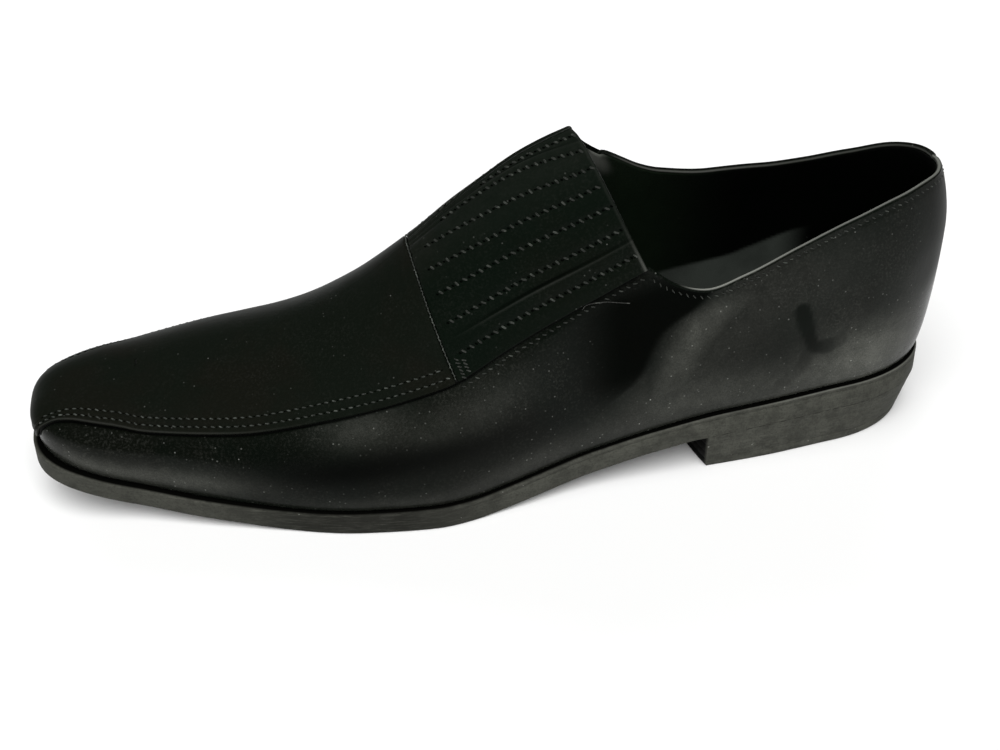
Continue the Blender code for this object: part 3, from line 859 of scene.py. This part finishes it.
LINING_STEP, LINING_FOOT = 1.6, 0.03
LINING_DEPTH, LINING_THICKNESS = 1.55, 0.6
LINING_END, LINING_DROP = THROAT_X + 0.6, 1.2
# The upper edge of the lining's paler band along the foot; here s is u.
LOW_LINING = table(
    "s share",
    (0.0, 0.310), (35.0, 0.258), (52.0, 0.205), (61.0, 0.182), (85.0, 0.168), (125.0, 0.140), (300.0, 0.100),
)
# A painted highlight: a pale streak on the inner side's lining beside the panel's back edge.
THROAT_STREAK = table(
    "u share half_width strength",
    (114.2, 0.762, 1.4, 0.50), (111.8, 0.716, 1.9, 0.45),
    (109.4, 0.672, 1.7, 0.30), (107.4, 0.637, 1.2, 0.10),
)
STREAK_SOFTNESS = 1.4


def lining_top(side, u):
    """The share at which the lining ends: at the topline, along the throat, and at the ridge."""
    throat_u, throat_share = leaning(side, LINING_END, np.linspace(0, 1, 60))
    ahead = u >= throat_u[0]
    top = np.where(ahead, seam_share(side, u), topline_share(side, u))
    top = top + (climb(side, u) - LINING_DROP) / length_of(side, u)
    top = np.where(ahead, np.maximum(np.interp(u, throat_u, throat_share), top), top)
    return np.where(u >= throat_u[-1], 1.0, top)


def add_lining():
    grids, low, highlight = [], [], []
    for side in (1, -1):
        u = columns_of(side, LINING_STEP)
        u = np.sort(np.append(u, LINING_END))[::-1][:, None]
        share = LINING_FOOT + (lining_top(side, u) - LINING_FOOT) * np.linspace(0, 1, 70)[None, :]
        grids.append(facing(side, on_side(side, u, share, -LINING_DEPTH)))
        under = (curve(LOW_LINING, "share", u) - share) * length_of(side, u)
        ends = ramp(u, 120.0, -40.0) * ramp(u, 31.0, 13.0)
        low.append(facing(side, smooth_step(under / 1.6 + 0.5) * ends))
        # The painted highlight streak on the inner side.
        streak = stroke(side, u, share, THROAT_STREAK, STREAK_SOFTNESS) if side < 0 else 0 * share
        highlight.append(facing(side, streak))
    paint = {"low": low, "highlight": highlight}
    lining = add_piece("lining", grids, LINING, ["upper"], paint, turn=False)
    shell = lining.modifiers.new("thickness", "SOLIDIFY")
    shell.thickness = LINING_THICKNESS * MM
    shell.offset = -1


def sheet(side, u, share, lift, height, marks, paint):
    """The upper and lower face of a sheet that lies on the last, with marks painted on the upper one."""
    top = at(side, u, share, lift + np.maximum(height, 0))
    under = at(side, u, share, lift + 0 * share)
    for name, found in marks.items():
        paint.setdefault(name, []).extend([facing(side, found), facing(-side, 0 * found)])
    return [facing(side, top), facing(-side, under)]


APRON_THICKNESS, APRON_LIFT = 0.85, 0.12
APRON_END = CROSS_X + GAP / 2


def apron_rows(column):
    """The two stitch rows' distances over the toe seam, which close up towards the toe."""
    lower = np.interp(column, (176.0, 245.0, 300.0), (2.6, 2.4, 2.0))
    upper = np.interp(column, (176.0, 205.0, 245.0, 300.0), (5.9, 5.7, 5.0, 4.4))
    return lower, upper


def apron_foot(side, column):
    """The u at which an apron's column starts. A column is a ridge x, and past the toe pole a u."""
    return np.where(column > TOE_POLE, column, foot(side, np.minimum(column, TOE_POLE)))


def apron_height(side, u):
    return (1 - seam_share(side, u)) * length_of(side, u)


def apron_place(side, column, distance):
    """u and share at a distance over the toe seam."""
    start = apron_foot(side, column)
    seam = seam_share(side, start)
    rise = np.clip(distance / apron_height(side, start), 0, 1)
    u, share = leaning(side, np.minimum(column, TOE_POLE), rise)
    round_toe = column > TOE_POLE
    return np.where(round_toe, column, u), np.where(round_toe, seam + (1 - seam) * rise, share)


def add_apron():
    """The smooth forepart, with a rounded edge and two stitched furrows along it."""
    grids, paint = [], {}
    near = np.concatenate([[0, 0.06, 0.16, 0.32, 0.5, 0.75, 1.05], np.arange(1.4, 7.5, 0.33), [8.2]])
    middle = np.linspace(TOE_POLE, APRON_END + 1.4, 76)
    close = APRON_END + np.array([0.9, 0.55, 0.3, 0.12, 0.0])
    for side in (1, -1):
        toe = np.linspace(SHELLS[side]["u"][-1], TOE_POLE, 62)
        column = np.concatenate([toe[:-1], middle, close])[:, None]
        full = apron_height(side, apron_foot(side, column))
        far = near[-1] + (full - near[-1]) * np.linspace(0, 1, 34)[None, 1:]
        distance = np.concatenate([near[None, :] + 0 * full, far], axis=1)
        height = APRON_THICKNESS * edge_round(distance, 0.55) * edge_round(column - APRON_END, 0.6)
        lower, upper = apron_rows(column)
        for row in (lower, upper):
            height = height - 0.20 * bell(distance - row, 0.45)
        height = height + 0.10 * bell(distance - (lower + upper) / 2, 1.0)
        # A painted highlight along the rounded edge, towards the toe.
        pale = 0.07 * bell(distance - 0.4, 0.25) * ramp(column, 205.0, 50.0)
        place = apron_place(side, column, distance)
        grids += sheet(side, *place, APRON_LIFT, height, {"highlight": pale}, paint)
    add_piece("vamp_apron_leather", grids, APRON_LEATHER, ["vamp_apron"], paint)


PANEL_BASE, PANEL_LIFT = 0.8, 0.15
PANEL_FRONT, PANEL_BACK = CROSS_X - GAP, THROAT_X
PANEL_LENGTH = PANEL_FRONT - PANEL_BACK
# Length of the rib through the panel, which turns shares of the panel's height into millimetres.
PANEL_RIB = 114.0
FURROW_DEPTH, FURROW_WIDTH = 0.34, 0.95
# How far each tuck stands up, from the low edge to the ridge, how sharply it folds over, and how much more it
# swells near the front.
SWELLS = table(
    "rise fold pucker",
    (0.10, 0.0, 0.0), (0.62, 1.0, 0.0), (0.26, 0.3, 0.9), (0.26, 0.1, 0.0),
    (0.28, 0.1, 0.0), (0.34, 0.2, 0.0), (0.45, 0.8, 0.0), (0.10, 0.0, 0.0),
)
# The tucks that fold over: their number, the strength of the painted highlight on the fold's crest, and of
# the painted shade of its shadow.
FOLDS = (1, 0.07, 0.8), (6, 0.03, 0.35)
# How much the panel thins at its low back corner, and the strength of the painted highlight on its back edge
# there.
CORNER = {1: (0.5, 0.22), -1: (0.85, 0.0)}
# Shares of the way across a tuck, closer at its stitch rows and its fold.
TUCK_STEPS = np.array(
    [0, 0.03, 0.06, 0.1, 0.16, 0.24, 0.33, 0.42, 0.47, 0.5, 0.53, 0.56, 0.6, 0.66, 0.74, 0.84, 0.92, 0.97]
)


def tuck_starts(back):
    """Each stitch row's share of the way up the panel, at shares of the way back along it."""
    back = np.asarray(back)[..., None]
    starts = (1 - back) * (1 - 2 * back) * TUCKS["front"]
    return starts + 4 * back * (1 - back) * TUCKS["middle"] + back * (2 * back - 1) * TUCKS["back"]


def panel_place(side, back, rise):
    return leaning(side, PANEL_FRONT - back * PANEL_LENGTH, rise)


def tuck_swells(back, bounds):
    """Shares of the way up the panel, and how far its tucks swell there."""
    soft = np.sin(np.pi * TUCK_STEPS) ** 1.2
    steep = 1 - 0.95 * ramp(TUCK_STEPS, 0.5, 0.09)
    folded = np.where(TUCK_STEPS <= 0.5, np.sin(np.pi * TUCK_STEPS) ** 1.5, steep)
    folded = folded - 0.12 * bell(TUCK_STEPS - 0.6, 0.05)
    flat = 1 - 0.65 * bell((1 - back) * PANEL_LENGTH, 5.0)
    rises, heights = [], []
    for k, (rise, fold, pucker) in enumerate(zip(*SWELLS.values())):
        start, end = bounds[:, k : k + 1], bounds[:, k + 1 : k + 2]
        rises.append(start + (end - start) * TUCK_STEPS)
        strength = 0.3 + 0.7 * smooth_step(back / 0.35) + pucker * bell(back - 0.30, 0.13)
        heights.append(rise * strength * flat * (fold * folded + (1 - fold) * soft))
    top = np.ones(back.shape)
    return np.concatenate([*rises, top], axis=1), np.concatenate([*heights, 0.1 * top], axis=1)


def add_panel():
    """The tucked panel: between its stitched furrows the leather swells, and two of the tucks fold over."""
    ends = np.array([0, 0.08, 0.2, 0.4, 0.7, 1.1]) / PANEL_LENGTH
    inset = 1.8 / PANEL_LENGTH
    back = np.concatenate([ends, np.linspace(inset, 1 - inset, 70), 1 - ends[::-1]])[:, None]
    starts = tuck_starts(back[:, 0])
    bounds = np.concatenate([np.full(back.shape, 0.004), starts, np.ones(back.shape)], axis=1)
    rises, heights = tuck_swells(back, bounds)
    from_front, from_back = back * PANEL_LENGTH, (1 - back) * PANEL_LENGTH
    crease = smooth_step(back / 0.3) * (0.45 + 0.55 * bell(back - 0.55, 0.22))
    grids, paint = [], {}
    for side, (thinned, corner_highlight) in CORNER.items():
        tall = (1 - seam_share(side, foot(side, PANEL_BACK))) * PANEL_RIB
        over = rises * tall
        height = PANEL_BASE + heights
        for start in starts.T:
            height = height - FURROW_DEPTH * bell(over - start[:, None] * tall, FURROW_WIDTH)
        height = height * edge_round(over, 0.5) * (1 - thinned * bell(from_back, 6.0) * bell(over, 7.0))
        height = height * edge_round(from_front, 0.5) * edge_round(from_back, 1.1)
        # A painted highlight along the back edge, strongest at the low corner, painted highlights and shade
        # along the folds, and paler towards the top.
        highlight = bell(from_back - 0.5, 0.35) * (0.03 + corner_highlight * bell(over, 9.0))
        shade = 0 * rises
        for k, pale, dark in FOLDS:
            past = over - (bounds[:, k : k + 1] + bounds[:, k + 1 : k + 2]) / 2 * tall
            highlight = highlight + pale * crease * bell(past + 0.1, 0.22)
            shade = shade + dark * crease * bell(past - 0.8, 0.5)
        marks = {"highlight": highlight, "shade": shade, "bloom_and_sheen": 0.035 * ramp(rises, 0.5, 0.4)}
        grids += sheet(side, *panel_place(side, back, rises), PANEL_LIFT, height, marks, paint)
    add_piece("tucked_panel", grids, PANEL_LEATHER, ["instep_panel"], paint)


def walk(line, normals, spacing, start):
    """Places at even spacing along a line, with the line's direction and its outward direction there."""
    run = run_of(line)
    places = np.arange(start * spacing, run[-1], spacing)
    ahead = np.gradient(line, run, axis=0)
    where, ahead, up = (sampled(places, run, rows) for rows in (line, ahead, normals))
    return where, unit(ahead), unit(up)


# A bead's rings along it: place in half lengths, and thickness and lift in girths.
STITCH = table(
    "place thick lift",
    (-1.0, 0.4, -0.9), (-0.8, 0.8, -0.3), (-0.3, 1.0, 0.0),
    (0.3, 1.0, 0.0), (0.8, 0.8, -0.3), (1.0, 0.4, -0.9),
)
DOT = table(
    "place thick lift",
    (-1.0, 0.3, 0.0), (-0.7, 0.75, 0.0), (0.0, 1.0, 0.0), (0.7, 0.75, 0.0), (1.0, 0.3, 0.0),
)
BEAD_SIDES = 6


def add_beads(name, lines, material, spacing, size, girth, slant=0.0, form=STITCH, start=0.5):
    """Small rounded beads along lines, turned by slant from the line: stitches and needle holes."""
    around = np.linspace(0, 2 * np.pi, BEAD_SIDES, endpoint=False)[None, :, None]
    loop = np.arange(BEAD_SIDES)
    place, thick, lift = (column[:, None, None] for column in form.values())
    last_ring = BEAD_SIDES * (len(place) - 1)
    points, faces = [], []
    count = 0
    for side, line, normals in lines:
        where, ahead, up = walk(line, normals, spacing, start)
        across = np.cross(up, ahead) * side
        k = np.arange(len(where))
        wander = (slant + 0.16 * np.sin(2.3 * k) + 0.10 * np.sin(5.1 * k))[:, None]
        lay = np.cos(wander) * ahead + np.sin(wander) * across
        beside = np.cross(up, lay)
        for p, a, b, n in zip(where, lay, beside, up):
            body = p + 0.5 * size * place * a + girth * lift * n
            ring = np.cos(around) * n + np.sin(around) * b
            points.append((body + girth * thick * ring).reshape(-1, 3))
            for low in range(count, count + last_ring, BEAD_SIDES):
                first, second = low + loop, low + BEAD_SIDES + loop
                faces += np.stack([first, second, np.roll(second, -1), np.roll(first, -1)], axis=1).tolist()
            faces += [(count + loop).tolist(), (count + last_ring + loop[::-1]).tolist()]
            count += last_ring + BEAD_SIDES
    mesh = new_mesh(name, points, faces)
    tidy(mesh)
    dress(name, mesh, material)


# Where the panel's stitch rows start, as shares of the way back; the last row is on the outer side only.
ROW_STARTS = (0.06, 0.06, 0.06, 0.06, 0.08, 0.20, 0.45)
# Two rows of tacks at the panel's front corner: shares of the way up from and to, and of the way back.
TACKS = (0.0, 0.13, 0.035), (0.02, 0.11, 0.065)


def line_on(side, place, lift):
    """A line on apron or panel for beads to follow."""
    u, share = place
    return side, at(side, u, share, lift + 0 * u), away(side, u, share)


def side_line(side, start, end, count, top, distance):
    """A line on the side leather at a distance under its seam or topline, for beads to follow."""
    u = np.linspace(start, end, count)
    share = top(side, u) - distance / length_of(side, u)
    return side, on_side(side, u, share, 0.02), away(side, u, share)


def add_seams():
    """All the stitching, with dark beads of painted shade for the needle holes between the stitches of apron
    and panel.
    """
    apron, panel, quarter, topline, tacks = [], [], [], [], []
    apron_top, panel_top = APRON_LIFT + APRON_THICKNESS, PANEL_LIFT + PANEL_BASE
    for side in (1, -1):
        toe, heel = SHELLS[side]["u"][-1], SHELLS[side]["u"][0]
        throat = THROAT_FOOT[side]
        column = np.linspace(toe - 15.0, CROSS_X + 1.2, 400)
        for distance in apron_rows(column):
            apron.append(line_on(side, apron_place(side, column, distance), apron_top - 0.10))
        for k, start in enumerate(ROW_STARTS if side > 0 else ROW_STARTS[:-1]):
            back = np.linspace(start, 0.985, 200)
            panel.append(line_on(side, panel_place(side, back, tuck_starts(back)[:, k]), panel_top - 0.16))
        front = foot(side, CROSS_X) - 1.0
        quarter.append(side_line(side, front, throat + 1.0, 200, seam_share, QUARTER_STITCH))
        topline.append(side_line(side, throat - 1.0, heel + 2.0, 500, topline_share, TOPLINE_STITCH))
        for low, high, back in TACKS:
            rise = np.linspace(low, high, 30)
            tacks.append(line_on(side, panel_place(side, back + 0 * rise, rise), panel_top + 0.05))
    add_beads("apron_stitching", apron, APRON_THREAD, 2.5, 1.45, 0.27, -0.25)
    # Dark beads of painted shade for the needle holes.
    add_beads("apron_needle_holes", apron, PINHOLE, 2.5, 0.6, 0.18, 0.0, DOT, 0.0)
    add_beads("panel_stitching", panel, THREAD, 2.9, 2.0, 0.40, -0.95)
    add_beads("panel_needle_holes", panel, PINHOLE, 2.9, 0.95, 0.27, -0.6, DOT, 0.05)
    add_beads("quarter_stitching", quarter, THREAD, 2.5, 1.5, 0.26, -0.6)
    add_beads("topline_stitching", topline, THREAD, 2.4, 1.5, 0.21, -0.65)
    add_beads("cross_seam_tacks", tacks, THREAD, 1.2, 1.7, 0.30, 0.9)


def add_tube(name, points, radius, material, wobble):
    """A round thread along points, thicker and thinner by a repeatable wobble, with closed ends."""
    ahead = unit(np.gradient(points, axis=0))
    beside = unit(np.cross(ahead, np.array([0.0, 0.3, 1.0])))[:, None]
    above = np.cross(beside, ahead[:, None])
    k = np.arange(len(points))
    size = radius * (1 + wobble * (np.sin(1.7 * k) + 0.7 * np.sin(2.9 * k + 1.0)))
    size[[0, -1]] *= 0.3
    angle = np.radians(np.arange(0, 361, 45))[None, :, None]
    rings = points[:, None] + size[:, None, None] * (np.cos(angle) * beside + np.sin(angle) * above)
    caps = [np.stack([rings[i], np.repeat(points[i][None], angle.size, axis=0)]) for i in (0, -1)]
    add_piece(name, [rings, *caps], material, weld=0.0005)


def add_cross_seam():
    """The frayed raw edge where the panel lies against the apron."""
    rise = np.linspace(0.02, 1.0, 190)
    k = np.arange(len(rise))
    ridge_x = CROSS_X - 0.1 + 0.07 * np.sin(0.9 * k) + 0.06 * np.sin(2.2 * k)
    sides = [at(side, *leaning(side, ridge_x, rise), 0.80 + 0.07 * np.sin(1.3 * k)) for side in (1, -1)]
    path = np.concatenate([sides[0], sides[1][::-1][1:]])
    add_tube("cross_seam_edge", path, 0.18, APRON_THREAD, 0.42)


# A stray end of thread on the outer quarter: place as u and share, and height over the leather.
LOOSE_THREAD = table(
    "u share lift",
    (126.0, 0.488, 0.15), (124.6, 0.500, 0.45), (121.2, 0.494, 0.70),
    (118.0, 0.485, 0.55), (114.2, 0.468, 0.45), (110.0, 0.450, 0.15),
)
# The number of points that the thread's path is averaged over.
SMOOTHING = 9


def add_loose_thread():
    rows = np.arange(len(LOOSE_THREAD["u"]))
    fine = np.linspace(0, rows[-1], 60)
    path = on_side(1, *(np.interp(fine, rows, column) for column in LOOSE_THREAD.values()))
    padded = np.pad(path, ((SMOOTHING // 2, SMOOTHING // 2), (0, 0)), "edge")
    path = np.column_stack([np.convolve(line, np.ones(SMOOTHING) / SMOOTHING, "valid") for line in padded.T])
    add_tube("loose_thread", path, 0.13, PALE_THREAD, 0.1)


def loft(rings, shade, highlight=0.0):
    """Grids of a solid from outlines one over another, each as its two sides, with the lowest and highest
    closed, and its painted values, with a row for each point of an outline and a column for each outline."""
    grids, paint = [], {"shade": [], "highlight": []}
    for k, side in enumerate((1, -1)):
        grids.append(facing(side, np.stack([ring[k] for ring in rings], axis=1)))
        for name, values in (("shade", shade), ("highlight", highlight)):
            paint[name].append(facing(side, np.broadcast_to(values, grids[-1].shape[:2])))
    across = np.linspace(0, 1, 9)[None, :, None]
    # The closed ends are painted full shade.
    for ring in (rings[0], rings[-1]):
        grids.append(ring[0][:, None] * (1 - across) + ring[1][:, None] * across)
        for name, value in (("shade", 1.0), ("highlight", 0.0)):
            paint[name].append(np.full(grids[-1].shape[:2], value))
    return grids, paint


SOLE_STEP, SOCK_STEP = 1.6, 2.0


def edge_ring(shape, row, step=SOLE_STEP):
    """The sole's outline, with the inset and height that a shape gives for x and one row of its values."""
    sides = []
    for side in (1, -1):
        points, inward = rim_at(side, columns_of(side, step))
        inset, _ = shape(points[:, 0], *row)
        points = points + inward * np.broadcast_to(inset, len(points))[:, None]
        _, height = shape(points[:, 0], *row)
        sides.append(np.column_stack([points, height]))
    return sides


# The outsole's edge from its underside up, as rows of insets and heights. The ledge under the upper has a
# further inset ahead of the heel.
CHAMFER = (1.2, 0.0), (0.35, 0.12), (0.08, 0.45), (0.0, 0.9), (0.0, 3.0)
GROOVE = (0.0, -1.75), (0.20, -1.55), (0.20, -1.40), (0.0, -1.2), (0.0, -0.45)
LEDGE = (0.12, 0.0, -0.18), (0.4, 0.0, 0.0), (0.6, 0.7, 0.0), (1.6, 0.0, 0.0)
# Strength of the painted highlight on the two rings of the lip.
LIP_HIGHLIGHT = (0.34, 0.2)


def chamfer(x, inset, rise):
    return inset * ramp(x, HEEL_LENGTH + 1.0, 4.0), underside(x) + rise


def groove(x, inset, rise):
    return inset * ramp(x, 190.0, -60.0), sole_top(x) + rise


def ledge(x, inset, ahead, rise):
    return inset + ahead * ramp(x, 80.0, 60.0), sole_top(x) + rise


def add_outsole():
    """The outsole: a chamfer ahead of the heel, a fine line under the lip with its painted highlight, and a
    ledge painted black, partly its own black and partly painted shade.
    """
    rings = []
    for shape, rows in ((chamfer, CHAMFER), (groove, GROOVE), (ledge, LEDGE)):
        rings += [edge_ring(shape, row) for row in rows]
    # Painted shade on the ledge under the upper and a painted highlight on the lip.
    shade, lip = np.zeros((2, 1, len(rings)))
    shade[0, -2:] = 1.0
    lip[0, -4:-2] = LIP_HIGHLIGHT
    x = rings[0][0][:, :1]
    highlight = lip * (0.25 + 0.75 * ramp(x, 72.0, -30.0)) * ramp(x, 125.0, -40.0)
    grids, paint = loft(rings, shade, highlight)
    add_piece("outsole_rubber", grids, SOLE_RUBBER, ["outsole"], paint, sharp=50)


# The heel's edge from the floor up, as insets and shares of its height, with the lines of its layers.
HEEL_EDGE = (
    (0.9, 0.0), (0.25, 0.012), (0.0, 0.05),
    (0.0, 0.20), (0.14, 0.213), (0.14, 0.225), (0.0, 0.24),
    (0.0, 0.44), (0.05, 0.452), (0.0, 0.465),
    (0.0, 0.69), (0.05, 0.702), (0.0, 0.715),
    (0.0, 0.97), (0.04, 0.998),
)
BREAST_POINTS = 20


def heel_outline(side):
    """The heel's outline under the sole: half of the bowed breast, then the sole's edge to the back."""
    points, inward = rim_at(side, np.linspace(HEEL_LENGTH, SHELLS[side]["u"][0], 90))
    rest = points + inward * 0.06
    across = np.linspace(0, 1, BREAST_POINTS + 1)[:-1]
    bow = HEEL_LENGTH + BREAST_BOW * (1 - across**2)
    breast = np.column_stack([bow, centre(HEEL_LENGTH) * (1 - across) + rest[0, 1] * across])
    return np.vstack([breast, rest])


def heel_ring(side, inset, share):
    """The heel's outline at a share of its height, moved in."""
    points = heel_outline(side)
    forward = np.clip((HEEL_LENGTH - points[:, 0]) / HEEL_LENGTH, 0, 1)
    low = np.column_stack([points[:, 0] + HEEL_UNDERCUT * forward, points[:, 1] * HEEL_TAPER, 0 * forward])
    high = np.column_stack([points, underside(points[:, 0]) - 0.02])
    ring = low + (high - low) * share
    ring[:, :2] -= unit(ring[:, :2] - np.array([0.5 * HEEL_LENGTH, 0.0])) * inset
    return ring


def add_heel():
    """The heel block; its breast is painted with shade."""
    rings = [[heel_ring(side, *row) for side in (1, -1)] for row in HEEL_EDGE]
    breast = np.arange(len(rings[0][0]))[:, None] < BREAST_POINTS
    grids, paint = loft(rings, np.where(breast, 1.0, 0.0))
    add_piece("heel_block", grids, HEEL_RUBBER, ["heel"], paint, sharp=50)


# The sock's edge from its underside up: insets from the sole's edge, and heights.
SOCK_EDGE = (
    (6.0, 0.0), (5.1, 0.5), (4.8, 1.5), (5.0, 2.0), (5.6, INSOLE_THICKNESS),
    (7.5, INSOLE_THICKNESS + 0.05), (11.0, INSOLE_THICKNESS - 0.25),
)


def bed(x, inset, rise):
    return inset, sole_top(x) + 2 * GAP + WALL + rise


def add_sock():
    """The insole's sock: a board with a soft rounded rim and a shallow bed for the foot."""
    rings = [edge_ring(bed, row, SOCK_STEP) for row in SOCK_EDGE]
    add_piece("insole_sock", loft(rings, 0.0)[0], SOCK, ["insole"], sharp=60)


add_side_leather()
add_lining()
add_apron()
add_panel()
add_seams()
add_cross_seam()
add_loose_thread()
add_outsole()
add_heel()
add_sock()


# Stage.
def add_floor():
    reach = 40.0
    corners = [(-reach, -reach, 0), (reach, -reach, 0), (reach, reach, 0), (-reach, reach, 0)]
    mesh = bpy.data.meshes.new("floor")
    mesh.from_pydata(corners, [], [(0, 1, 2, 3)])
    floor = bpy.data.objects.new("floor", mesh)
    bpy.context.scene.collection.objects.link(floor)
    finish = Finish("pale_floor", (0.80, 0.80, 0.80), 0.9, 0.1)
    finish.colour = (0.79, 0.79, 0.785)
    finish.coat(finish.noise(3.0), (0.81, 0.81, 0.81))
    mesh.materials.append(finish.done())


# Each lamp's name, its strength, and how far it leans to the inner side and to the toe, in degrees.
LAMPS = ("overhead", 4.35, -30, 6), ("fill", 1.8, 74, 0)
LAMP_SPREAD = 70


def add_light():
    """A broad lamp overhead, leaning to the outer side, and a fainter low one on the inner side; the room is
    dim around the shoe and looks white."""
    for name, energy, lean, roll in LAMPS:
        sun = bpy.data.lights.new(name, "SUN")
        sun.energy = energy
        sun.angle = np.radians(LAMP_SPREAD)
        lamp = bpy.data.objects.new(name, sun)
        sideways = Matrix.Rotation(np.radians(lean), 4, "X")
        lamp.matrix_world = sideways @ Matrix.Rotation(np.radians(roll), 4, "Y")
        lamp.visible_glossy = False
        bpy.context.scene.collection.objects.link(lamp)
    world = bpy.data.worlds.new("room")
    world.use_nodes = True
    tree = world.node_tree
    dim = tree.nodes["Background"]
    dim.inputs["Color"].default_value = (0.97, 1.0, 0.95, 1)
    dim.inputs["Strength"].default_value = 0.06
    white = tree.nodes.new("ShaderNodeBackground")
    white.inputs["Color"].default_value = (1, 1, 1, 1)
    seen = tree.nodes.new("ShaderNodeMixShader")
    tree.links.new(tree.nodes.new("ShaderNodeLightPath").outputs["Is Camera Ray"], seen.inputs["Fac"])
    tree.links.new(dim.outputs["Background"], seen.inputs[1])
    tree.links.new(white.outputs["Background"], seen.inputs[2])
    tree.links.new(seen.outputs["Shader"], tree.nodes["World Output"].inputs["Surface"])
    bpy.context.scene.world = world


# The photograph's camera: its lens, its place in the last's frame and its turn in degrees.
LENS, SENSOR = 57.622, 36.0
EYE = (215.02, 438.37, 344.27)
TURN = (54.1303, 0.8730, 170.6092)


def add_camera():
    camera = bpy.data.cameras.new("camera")
    camera.sensor_width = SENSOR
    camera.lens = LENS
    camera.clip_start = 0.01
    eye = bpy.data.objects.new("camera", camera)
    eye.location = (np.array(EYE) + SHIFT) * MM
    eye.rotation_euler = np.radians(TURN)
    bpy.context.scene.collection.objects.link(eye)
    bpy.context.scene.camera = eye


add_floor()
add_light()
add_camera()
bpy.context.scene.view_settings.view_transform = "Standard"
